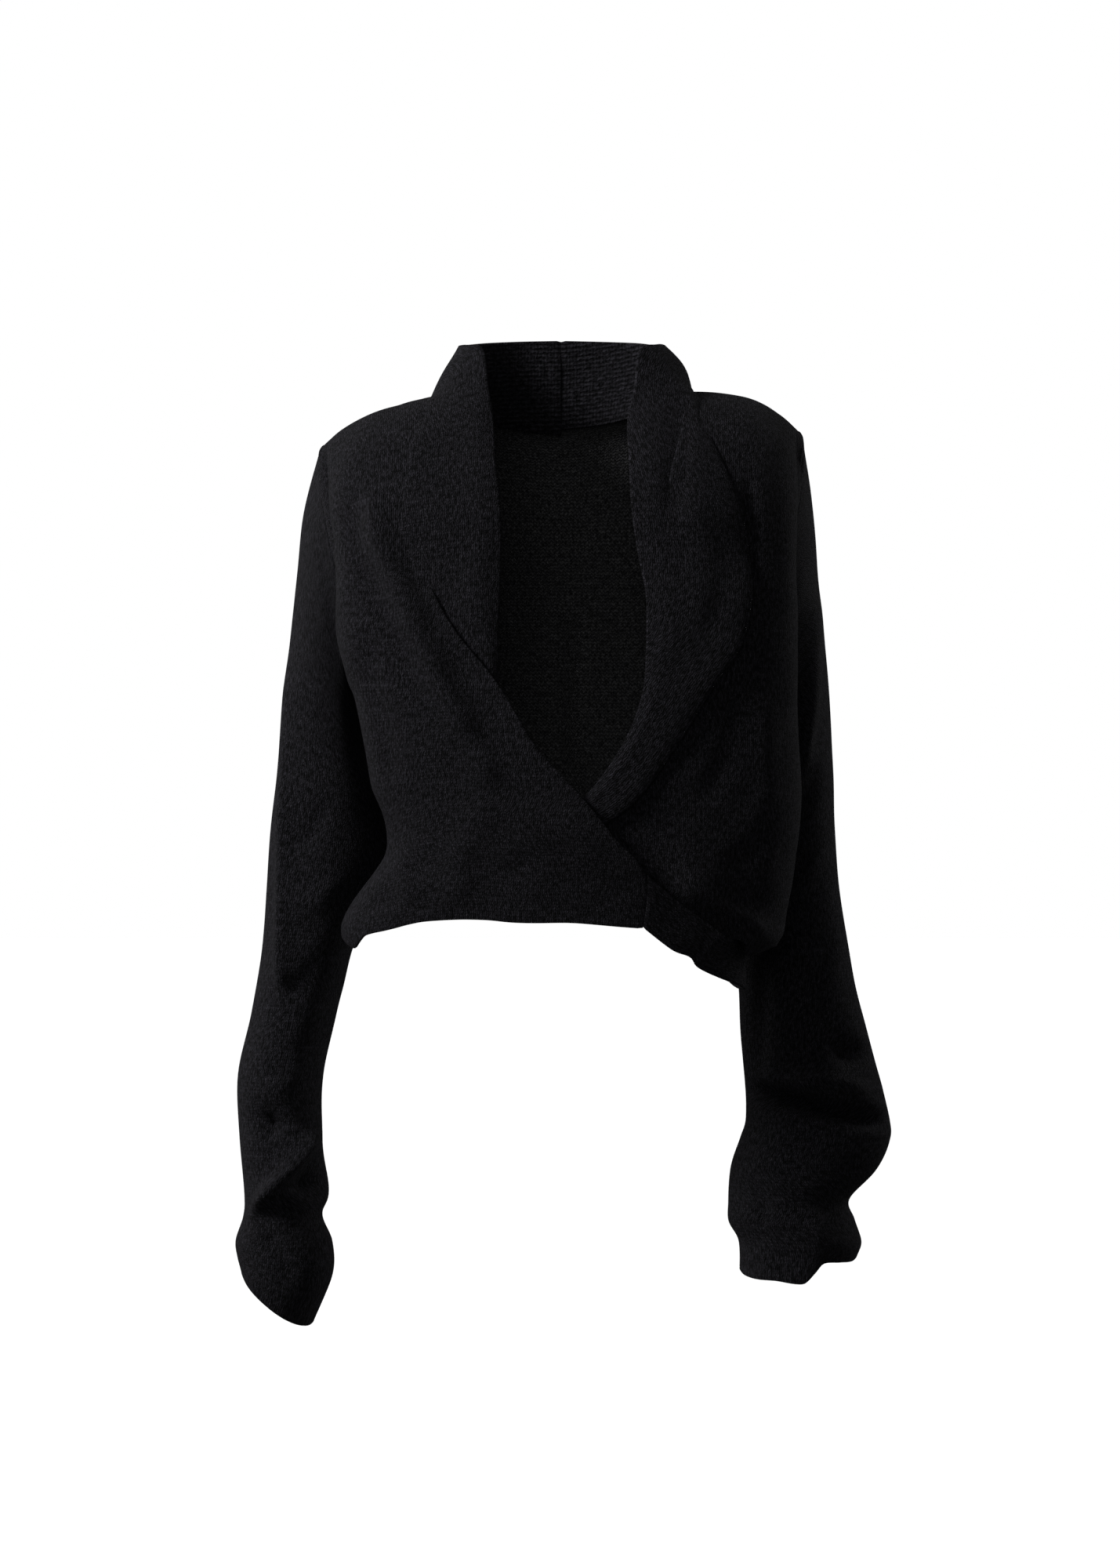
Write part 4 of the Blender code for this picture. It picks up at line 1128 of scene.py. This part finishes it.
def declare(piece, node):
    """Puts a piece in the place of its solid and hides that solid."""
    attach(piece, BODY)
    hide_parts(node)


def from_line(x):
    """Starts the wales of each row where the row crosses an upright line, so that they hang straight."""

    def start(points, along):
        values = []
        for row, place in zip(points, along):
            past = row[:, 0] > x
            crossings = np.nonzero(past[:-1] != past[1:])[0]
            index = max(crossings, key=lambda spot: abs(row[spot, 1]))
            share = (x - row[index, 0]) / (row[index + 1, 0] - row[index, 0])
            values.append(place[index] + share * (place[index + 1] - place[index]))
        return np.array(values)[:, None]

    return start


def linear(colour):
    """A colour written as sRGB hex, in linear light."""
    values = []
    for index in (0, 2, 4):
        value = int(colour[index : index + 2], 16) / 255
        values.append(value / 12.92 if value <= 0.04045 else ((value + 0.055) / 1.055) ** 2.4)
    return tuple(values)


def add(tree, kind, inputs=None, **settings):
    """Adds a node, sets it up, and fills its inputs with a value, a socket or the first output of a node."""
    made = tree.nodes.new(kind)
    for key, value in settings.items():
        setattr(made, key, value)
    for key, value in (inputs or {}).items():
        if isinstance(value, bpy.types.Node):
            value = value.outputs[0]
        if isinstance(value, bpy.types.NodeSocket):
            tree.links.new(value, made.inputs[key])
        else:
            made.inputs[key].default_value = value
    return made


def stitch_relief(tree, pattern, u, v):
    """The height of the stitches, 0 to 1, from a place along a row of knitting (u) and up its wales (v)."""
    sizes = bpy.context.scene.sweater_sizes
    if pattern == "face":
        # Each wale is a column of V stitches: two slanted legs that meet in a groove
        fold = add(tree, "ShaderNodeMath", {0: u, 1: sizes.wale / 2}, operation="PINGPONG")
        turn = add(tree, "ShaderNodeMath", {0: fold, 1: math.tau / sizes.wale}, operation="MULTIPLY")
        legs = add(tree, "ShaderNodeMath", {0: turn}, operation="SINE")
        slanted = add(tree, "ShaderNodeMath", {0: fold, 1: STITCH_SLANT, 2: v}, operation="MULTIPLY_ADD")
        rise = add(tree, "ShaderNodeMath", {0: slanted, 1: math.tau / sizes.course}, operation="MULTIPLY")
        loop = add(tree, "ShaderNodeMath", {0: rise}, operation="COSINE")
        beat = {0: loop, 1: STITCH_BEAT, 2: 1.0 - STITCH_BEAT}
        relief = add(tree, "ShaderNodeMath", beat, operation="MULTIPLY_ADD")
        return add(tree, "ShaderNodeMath", {0: legs, 1: relief}, operation="MULTIPLY")
    if pattern == "purl":
        # The back of the same knit: rows of interlocking loops that wave from wale to wale
        turn = add(tree, "ShaderNodeMath", {0: u, 1: math.tau / sizes.wale}, operation="MULTIPLY")
        wave = add(tree, "ShaderNodeMath", {0: turn}, operation="COSINE")
        rise = add(tree, "ShaderNodeMath", {0: v, 1: math.tau / sizes.purl_row}, operation="MULTIPLY")
        phase = add(tree, "ShaderNodeMath", {0: wave, 1: LOOP_WAVE, 2: rise}, operation="MULTIPLY_ADD")
        loop = add(tree, "ShaderNodeMath", {0: phase}, operation="SINE")
        return add(tree, "ShaderNodeMath", {0: loop, 1: LOOP_SWING, 2: 0.5}, operation="MULTIPLY_ADD")
    # Ribs that run the length of the collar, with a faint beat of courses along them
    turn = add(tree, "ShaderNodeMath", {0: u, 1: math.tau / sizes.rib}, operation="MULTIPLY")
    ribs = add(tree, "ShaderNodeMath", {0: turn}, operation="COSINE")
    relief = add(tree, "ShaderNodeMath", {0: ribs, 1: RIB_SWING, 2: 0.5}, operation="MULTIPLY_ADD")
    rise = add(tree, "ShaderNodeMath", {0: v, 1: math.tau / sizes.course}, operation="MULTIPLY")
    loop = add(tree, "ShaderNodeMath", {0: rise}, operation="COSINE")
    return add(tree, "ShaderNodeMath", {0: loop, 1: RIB_BEAT, 2: relief}, operation="MULTIPLY_ADD")


def knit(name, pattern):
    """Near-black wool and mohair yarn, knitted and then brushed.

    Brushing pulls a haze of fine fibres over the stitches. The haze blurs them, so they show as soft rows
    and not as clean loops, and it catches a grey light at a glancing angle, which is the sheen. The yarn
    under it is matt and almost black. The grey of the lit haze is also painted into the colour as painted
    sheen, patchy and lighter on the raised stitches, with painted shade in the grooves between them; on the
    inner face the loops are painted pale as painted light.
    """
    sizes = bpy.context.scene.sweater_sizes
    colours = bpy.context.scene.sweater_colours
    material = bpy.data.materials.new(name)
    material.use_nodes = True
    tree = material.node_tree
    tree.nodes.clear()
    place = add(tree, "ShaderNodeUVMap", uv_map="knit")
    scatter = add(tree, "ShaderNodeTexNoise", {"Vector": place, "Scale": SCATTER_SCALE, "Detail": 3.0})
    halved = {0: scatter.outputs["Color"], 1: (0.5, 0.5, 0.5)}
    centred = add(tree, "ShaderNodeVectorMath", halved, operation="SUBTRACT")
    spots = add(
        tree,
        "ShaderNodeVectorMath",
        {0: centred, 1: (SCATTER, SCATTER, 0.0), 2: place},
        operation="MULTIPLY_ADD",
    )
    axes = add(tree, "ShaderNodeSeparateXYZ", {0: spots})
    relief = stitch_relief(tree, pattern, axes.outputs["X"], axes.outputs["Y"])
    combed = add(tree, "ShaderNodeVectorMath", {0: place, 1: (1.0, BRUSHING, 1.0)}, operation="MULTIPLY")
    fine = {"Vector": combed, "Scale": HAZE_SCALE, "Detail": 5.0, "Roughness": 0.7}
    haze = add(tree, "ShaderNodeTexNoise", fine)
    patches = add(tree, "ShaderNodeTexNoise", {"Vector": place, "Scale": PATCH_SCALE, "Detail": 2.0})
    low, high = NAP_RANGE[pattern]
    fibres = add(
        tree,
        "ShaderNodeMapRange",
        {"Value": haze, "From Min": low, "From Max": high, "To Min": 0.0, "To Max": 1.0},
    )
    # Painted shade: the grooves between the stitches get less of the painted grey than the raised stitches
    groove_shade_inputs = {0: relief, 1: STITCH_GROOVE_SHADE, 2: 1.0 - STITCH_GROOVE_SHADE}
    painted_groove_shade = add(tree, "ShaderNodeMath", groove_shade_inputs, operation="MULTIPLY_ADD")
    # Painted sheen that is stronger in some patches than in others
    patch_sheen_inputs = {0: patches, 1: PATCH_SHEEN, 2: 1.0 - PATCH_SHEEN / 2}
    patchy_painted_sheen = add(tree, "ShaderNodeMath", patch_sheen_inputs, operation="MULTIPLY_ADD")
    painted_nap_sheen = add(tree, "ShaderNodeMath", {0: painted_groove_shade, 1: patchy_painted_sheen}, operation="MULTIPLY")
    # Random fibre haze times the painted sheen and painted groove shade: how far each spot goes from the
    # yarn's colour towards the painted grey
    haze_and_painted_sheen = add(tree, "ShaderNodeMath", {0: fibres, 1: painted_nap_sheen}, operation="MULTIPLY", use_clamp=True)
    # The grey that the colour mixes towards: painted light on the pale loops of the inner face, painted sheen
    # on the other faces
    painted_fibre_light = colours.loops if pattern == "purl" else colours.painted_nap_sheen
    colour = add(
        tree,
        "ShaderNodeMix",
        {0: haze_and_painted_sheen, 6: (*colours.yarn, 1.0), 7: (*painted_fibre_light, 1.0)},
        data_type="RGBA",
    )
    height = add(tree, "ShaderNodeMath", {0: haze, 1: NAP_RELIEF, 2: relief}, operation="MULTIPLY_ADD")
    bump = add(tree, "ShaderNodeBump", {"Height": height, "Strength": 1.0, "Distance": sizes.stitch_depth})
    shader = add(
        tree,
        "ShaderNodeBsdfPrincipled",
        {
            "Base Color": colour.outputs[2],
            "Metallic": 0.0,
            "Roughness": WOOL_ROUGHNESS,
            "IOR": WOOL_IOR,
            "Specular IOR Level": WOOL_SPECULAR,
            "Sheen Weight": SHEEN_WEIGHT,
            "Sheen Roughness": SHEEN_ROUGHNESS,
            "Sheen Tint": (*colours.sheen, 1.0),
            "Normal": bump,
        },
    )
    add(tree, "ShaderNodeOutputMaterial", {"Surface": shader})
    return material


def matt_paper(name):
    """Seamless background paper: smooth, matt and near-white, so it only takes soft shade."""
    material = bpy.data.materials.new(name)
    material.use_nodes = True
    shader = material.node_tree.nodes["Principled BSDF"]
    shader.inputs["Base Color"].default_value = (*bpy.context.scene.sweater_colours.floor, 1.0)
    shader.inputs["Roughness"].default_value = PAPER_ROUGHNESS
    shader.inputs["IOR"].default_value = PAPER_IOR
    return material


def knits(*patterns):
    """The knit materials for a piece's outer and inner face, made once each."""
    names = {"face": "brushed_knit_face", "purl": "brushed_knit_inside", "rib": "brushed_knit_rib"}
    made = []
    for pattern in patterns:
        name = names[pattern]
        made.append(bpy.data.materials.get(name) or knit(name, pattern))
    return made


def length(name, text, default, low, high):
    return FloatProperty(
        name=name, description=text, default=default, min=low, max=high, unit="LENGTH", precision=4
    )


class SweaterSizes(bpy.types.PropertyGroup):
    """Sizes of the knit, in metres."""

    wall: length("Wall", "Thickness of the brushed knit", 0.0028, 0.001, 0.003)
    wale: length("Wale", "Width of one column of stitches", 0.0036, 0.002, 0.008)
    course: length("Course", "Height of one row of stitches", 0.0030, 0.0015, 0.008)
    purl_row: length("Purl row", "Height of one row of loops on the inner face", 0.0034, 0.0015, 0.008)
    rib: length("Rib", "Width of one rib of the collar", 0.0040, 0.002, 0.010)
    stitch_depth: length("Stitch depth", "Depth of the grooves between the stitches", 0.0013, 0.0, 0.003)
    waves: length("Unevenness", "Height of the slow waves in the cloth", 0.0010, 0.0, 0.003)
    creases: FloatProperty(
        name="Creases",
        description="Strength of the folds and creases",
        default=1.2,
        min=0.0,
        max=1.5,
        subtype="FACTOR",
    )


def tint(name, text, colour):
    return FloatVectorProperty(
        name=name, description=text, default=linear(colour), min=0.0, max=1.0, subtype="COLOR", size=3
    )


class SweaterColours(bpy.types.PropertyGroup):
    """Colours of the yarn and of the studio."""

    yarn: tint("Yarn", "Colour of the yarn in the grooves", "0B0B0D")
    # Painted sheen: the grey that the lit fibres show, mixed into the yarn's colour
    painted_nap_sheen: tint("Nap", "Colour of the brushed fibres over it", "4C4A52")
    # Painted light: the inner face's loops are painted pale, so that the shaded inside of the garment reads
    # as lit
    loops: tint("Loops", "Colour of the loops on the inner face", "A2A2A4")
    sheen: tint("Sheen", "Colour of the light that the fibres catch", "CFCBD8")
    floor: tint("Floor", "Colour of the studio's floor", "F4F4F4")


def power(name, text, default):
    return FloatProperty(name=name, description=text, default=default, min=0.0, unit="POWER")


class SweaterStudio(bpy.types.PropertyGroup):
    """Power of the studio's lights."""

    key: power("Key light", "Power of the light at the left", 38.0)
    fill: power("Fill light", "Power of the light in front", 3.4)
    rim: power("Rim lights", "Power of each light behind", 6.0)


def panel_grid(face, hem, places_at):
    """The points of a body panel on its form, row by row."""
    return [[form_point(face, hem, place, row) for place in places_at(row)] for row in range(TOP_ROW + 1)]


def held_share(shape, seams):
    """How free each point of a grid is to leave its form: from 0 on its long seams to 1 away from them."""
    rows, columns = shape[:2]
    free = np.ones((rows, columns))
    for seam in seams:
        if seam in ("left", "right"):
            steps = np.arange(columns) if seam == "left" else np.arange(columns)[::-1]
            free *= eased(steps / SEAM_HOLD)[None, :]
        else:
            free *= eased(np.arange(rows)[::-1] / SEAM_HOLD)[:, None]
    return free[..., None]


def finished(node, grid, folds, closed=False, rows=PANEL_STEPS, columns=PANEL_STEPS, held=()):
    """The fine grid of a piece, with folds, creases and unevenness that die out at the seams that hold it."""
    sizes = bpy.context.scene.sweater_sizes
    plain = finer(grid, rows, columns, closed)
    points = folded(plain, tuple(folds) + CREASES[node], sizes.creases, closed)
    along, up = lengths(points, closed)
    points = uneven(points, along, up, sizes.waves, closed)
    return plain + (points - plain) * held_share(points.shape, held)


def overlapping(points, seams):
    """A panel whose side seams reach over the edge of the sleeve, less and less towards the shoulder."""
    steps = np.arange(len(points))[::-1, None]
    return drawn_in(points, seams, -SIDE_OVERLAP * eased(steps / SHOULDER_ROWS))


class SWEATER_OT_back(bpy.types.Operator):
    """Builds the back, from its hem to the neckline and the shoulder seams"""

    bl_idname = "sweater.back"
    bl_label = "Back"
    bl_options = {"REGISTER", "UNDO"}

    def execute(self, context):
        places = [mix(1.0, -1.0, j / BACK_COLUMNS) for j in range(BACK_COLUMNS + 1)]
        grid = panel_grid(BACK, BACK_HEM, lambda row: places)
        sides = ("left", "right")
        points = overlapping(finished("back", grid, BODY_FOLDS, held=sides), sides)
        sewn = ("left", "right", "top")
        piece = wall("back_panel", points, knits("face", "purl"), sewn, start=from_line(0.0))
        declare(piece, "back")
        return {"FINISHED"}


class SWEATER_OT_fronts(bpy.types.Operator):
    """Builds the two fronts: the one that lies on top, and the one below that blouses over the tie"""

    bl_idname = "sweater.fronts"
    bl_label = "Fronts"
    bl_options = {"REGISTER", "UNDO"}

    def execute(self, context):
        def over_places(row):
            edge = edge_place(OVER_HEM, OVER_EDGE, row)
            return [mix(-1.0, edge, j / FRONT_COLUMNS) for j in range(FRONT_COLUMNS + 1)]

        def under_places(row):
            edge = edge_place(UNDER_HEM, UNDER_EDGE, row)
            return [mix(edge, 1.0, j / FRONT_COLUMNS) for j in range(FRONT_COLUMNS + 1)]

        grid = np.array(panel_grid(FRONT, OVER_HEM, over_places))
        lift = np.array([[over_lift(Vector(point)) for point in line] for line in grid])
        grid = grid + normals_of(grid) * lift[..., None]
        points = overlapping(finished("front_right", grid, BODY_FOLDS, held=("left",)), ("left",))
        sewn = ("left", "top")
        over = wall("front_over", points, knits("face", "purl"), sewn, start=from_line(-HANG_LINE))
        declare(over, "front_right")
        grid = panel_grid(FRONT, UNDER_HEM, under_places)
        points = overlapping(finished("front_left", grid, BLOUSE_FOLDS, held=("right",)), ("right",))
        sewn = ("right", "top")
        under = wall("front_under", points, knits("face", "purl"), sewn, start=from_line(HANG_LINE))
        declare(under, "front_left")
        return {"FINISHED"}


def cover_share(edge):
    """How much of the right half's outer edge lies over the front: 1 above the wrap, 0 along it."""
    return eased((edge[:, 2] - COVER_END) / COVER_FADE)


def feathered(points, side):
    """The collar with its outer edge eased down, so that it runs into the front without a step."""
    points = points.copy()
    normals = normals_of(points)
    edge = points[:, -1 if side == RIGHT else 0]
    if side == RIGHT:
        depth = -COLLAR_RAISE * cover_share(edge)
    else:
        depth = np.interp(edge[:, 2], [row.z for row in COLLAR_SINK], [row.depth for row in COLLAR_SINK])
    depth = depth * eased(-edge[:, 1] / FEATHER_START)
    for step in range(FEATHER_COLUMNS):
        column = -1 - step if side == RIGHT else step
        share = (1 - step / FEATHER_COLUMNS) ** 2
        points[:, column] -= normals[:, column] * (depth * share)[:, None]
    return points


class SWEATER_OT_collar(bpy.types.Operator):
    """Builds the two halves of the shawl collar, joined at the middle of the back"""

    bl_idname = "sweater.collar"
    bl_label = "Collar"
    bl_options = {"REGISTER", "UNDO"}

    def execute(self, context):
        for side in (RIGHT, LEFT):
            hem = OVER_HEM if side == RIGHT else UNDER_HEM
            stations = [neck_line(station, side, hem) for station in COLLAR_NECK + COLLAR_SHOULDER[side]]
            stations += [chest_line(station, hem) for station in COLLAR_CHEST[side]]
            if side == RIGHT:
                stations = [line[::-1] for line in stations]
            node = "collar_" + side_column(side)
            points = finished(node, stations, (), rows=COLLAR_ROW_STEPS, columns=COLLAR_COLUMN_STEPS)
            seam = "right" if side == RIGHT else "left"
            overlap = np.full((len(points), 1), COLLAR_OVERLAP)
            if side == RIGHT:
                overlap[:, 0] += COLLAR_COVER * cover_share(points[:, -1])
            points = drawn_in(drawn_in(points, (seam,), -overlap), ("bottom",), COLLAR_GROOVE)
            points = feathered(points, side)
            piece = wall(node + "_half", points, knits("face", "rib"), ("bottom", seam))
            declare(piece, node)
        return {"FINISHED"}


def uneven_cuff(points):
    """The left sleeve with an edge that hangs unevenly, as it does where the cloth above it is caught up."""
    rise = np.array([read(CUFF_RISE, "rise", x) for x in points[0, :, 0]])
    height = points[..., 2] - points[0, :, 2]
    points[..., 2] += rise * (1.0 - eased(height / CUFF_RISE_HEIGHT))
    return points


class SWEATER_OT_sleeves(bpy.types.Operator):
    """Builds the two sleeves, from the armhole to the open cuff"""

    bl_idname = "sweater.sleeves"
    bl_label = "Sleeves"
    bl_options = {"REGISTER", "UNDO"}

    def execute(self, context):
        steps = 2 * (TOP_ROW - HEM_ROWS)
        for side in (RIGHT, LEFT):
            grid = []
            for ring in SLEEVE[side]:
                grid.append([ring_point(side, ring, math.tau * j / steps) for j in range(steps)])
            if side == LEFT:
                grid = [line[::-1] for line in grid]
            node = "sleeve_" + side_column(side)
            steps_each = (SLEEVE_ROW_STEPS, SLEEVE_COLUMN_STEPS)
            points = finished(node, grid[::-1], SLEEVE_FOLDS[side], True, *steps_each, held=("top",))
            if side == LEFT:
                points = uneven_cuff(points)
            ring = points[-1]
            share = eased((ring[:, 2].max() - ring[:, 2]) / CAP_FADE)[:, None]
            points[-1] -= normals_of(points, True)[-1] * CAP_SINK * share
            reach = SEAM_OVERLAP + CAP_OVERLAP * share
            piece = wall(node + "_tube", points, knits("face", "purl"), ("top",), closed=True, reach=reach)
            declare(piece, node)
        return {"FINISHED"}


class SWEATER_OT_tie(bpy.types.Operator):
    """Builds the tie that carries on from the top front, round the left side to the back"""

    bl_idname = "sweater.tie"
    bl_label = "Tie"
    bl_options = {"REGISTER", "UNDO"}

    def execute(self, context):
        stations = [tie_line(station) for station in TIE]
        grid = [[line[j] for line in stations] for j in range(TIE_COLUMNS + 1)]
        points = finished("tie", grid, (), rows=TIE_ROW_STEPS, columns=TIE_COLUMN_STEPS)
        points[:, 0] -= normals_of(points)[:, 0] * TIE_SINK
        piece = wall("tie_strap", points, knits("face", "purl"), ("left",), turned=True, reach=TIE_REACH)
        declare(piece, "tie")
        return {"FINISHED"}


def aimed(thing, place, target):
    """Puts a light or a camera at a place and turns it to a target."""
    thing.location = place
    thing.rotation_euler = (Vector(target) - Vector(place)).to_track_quat("-Z", "Y").to_euler()
    bpy.context.scene.collection.objects.link(thing)
    return thing


def soft_light(name, place, size, power):
    """A square softbox that looks at the chest."""
    lamp = bpy.data.lights.new(name, "AREA")
    lamp.shape = "SQUARE"
    lamp.size = size
    lamp.energy = power
    return aimed(bpy.data.objects.new(name, lamp), place, CHEST)


class SWEATER_OT_stage(bpy.types.Operator):
    """Sets up the camera, the floor, the pale surround and the soft lights"""

    bl_idname = "sweater.stage"
    bl_label = "Stage"
    bl_options = {"REGISTER", "UNDO"}

    def execute(self, context):
        scene = context.scene
        studio = scene.sweater_studio
        camera = bpy.data.cameras.new("camera")
        camera.lens = LENS
        camera.sensor_width = SENSOR
        camera.clip_end = CLIP_END
        scene.camera = aimed(bpy.data.objects.new("camera", camera), CAMERA_PLACE, CAMERA_TARGET)

        half = FLOOR_SIZE / 2
        corners = [(-half, -half, 0.0), (half, -half, 0.0), (half, half, 0.0), (-half, half, 0.0)]
        mesh = bpy.data.meshes.new("floor")
        mesh.from_pydata(corners, [], [(0, 1, 2, 3)])
        mesh.materials.append(matt_paper("matt_paper"))
        floor = bpy.data.objects.new("floor", mesh)
        floor.location.z = FLOOR_HEIGHT
        floor.visible_diffuse = False
        floor.visible_glossy = False
        scene.collection.objects.link(floor)

        # A light that falls on the paper only keeps the ground as white as the surround
        lamp = bpy.data.lights.new("paper_light", "SUN")
        lamp.energy = PAPER_LIGHT
        lamp.angle = PAPER_SOFTNESS
        paper_light = aimed(bpy.data.objects.new("paper_light", lamp), (0.0, 0.0, 2.0), (0.0, 0.0, 0.0))
        lit = bpy.data.collections.new("paper")
        lit.objects.link(floor)
        paper_light.light_linking.receiver_collection = lit

        soft_light("key_light", KEY_PLACE, KEY_SIZE, studio.key)
        soft_light("fill_light", FILL_PLACE, FILL_SIZE, studio.fill)
        soft_light("rim_light_left", RIM_LEFT_PLACE, RIM_SIZE, studio.rim)
        soft_light("rim_light_right", RIM_RIGHT_PLACE, RIM_SIZE, studio.rim)

        world = bpy.data.worlds.new("studio")
        world.use_nodes = True
        tree = world.node_tree
        tree.nodes.clear()
        seen = add(tree, "ShaderNodeBackground", {"Color": (1.0, 1.0, 1.0, 1.0), "Strength": 1.0})
        cast = add(tree, "ShaderNodeBackground", {"Color": (1.0, 1.0, 1.0, 1.0), "Strength": AMBIENT})
        rays = add(tree, "ShaderNodeLightPath")
        chosen = add(tree, "ShaderNodeMixShader", {0: rays.outputs["Is Camera Ray"], 1: cast, 2: seen})
        add(tree, "ShaderNodeOutputWorld", {"Surface": chosen})
        scene.world = world
        scene.view_settings.view_transform = "Standard"
        return {"FINISHED"}


class SWEATER_PT_panel(bpy.types.Panel):
    """Lists the sizes, the colours, the lights and the pieces"""

    bl_idname = "SWEATER_PT_panel"
    bl_label = "Cropped wrap sweater"
    bl_space_type = "VIEW_3D"
    bl_region_type = "UI"
    bl_category = "Sweater"

    def draw(self, context):
        layout = self.layout
        for key in GROUPS:
            group = getattr(context.scene, key)
            box = layout.box()
            for name in group.__annotations__:
                box.prop(group, name)
        for operator in OPERATORS:
            layout.operator(operator.bl_idname)


OPERATORS = (
    SWEATER_OT_stage,
    SWEATER_OT_back,
    SWEATER_OT_fronts,
    SWEATER_OT_collar,
    SWEATER_OT_sleeves,
    SWEATER_OT_tie,
)
GROUPS = {"sweater_sizes": SweaterSizes, "sweater_colours": SweaterColours, "sweater_studio": SweaterStudio}


def register():
    for group in GROUPS.values():
        bpy.utils.register_class(group)
    for operator in OPERATORS:
        bpy.utils.register_class(operator)
    bpy.utils.register_class(SWEATER_PT_panel)
    for name, group in GROUPS.items():
        setattr(bpy.types.Scene, name, bpy.props.PointerProperty(type=group))


def unregister():
    for name in GROUPS:
        delattr(bpy.types.Scene, name)
    bpy.utils.unregister_class(SWEATER_PT_panel)
    for operator in reversed(OPERATORS):
        bpy.utils.unregister_class(operator)
    for group in GROUPS.values():
        bpy.utils.unregister_class(group)


def main():
    register()
    bpy.ops.sweater.stage()
    bpy.ops.sweater.back()
    bpy.ops.sweater.fronts()
    bpy.ops.sweater.collar()
    bpy.ops.sweater.sleeves()
    bpy.ops.sweater.tie()


if __name__ == "__main__":
    main()
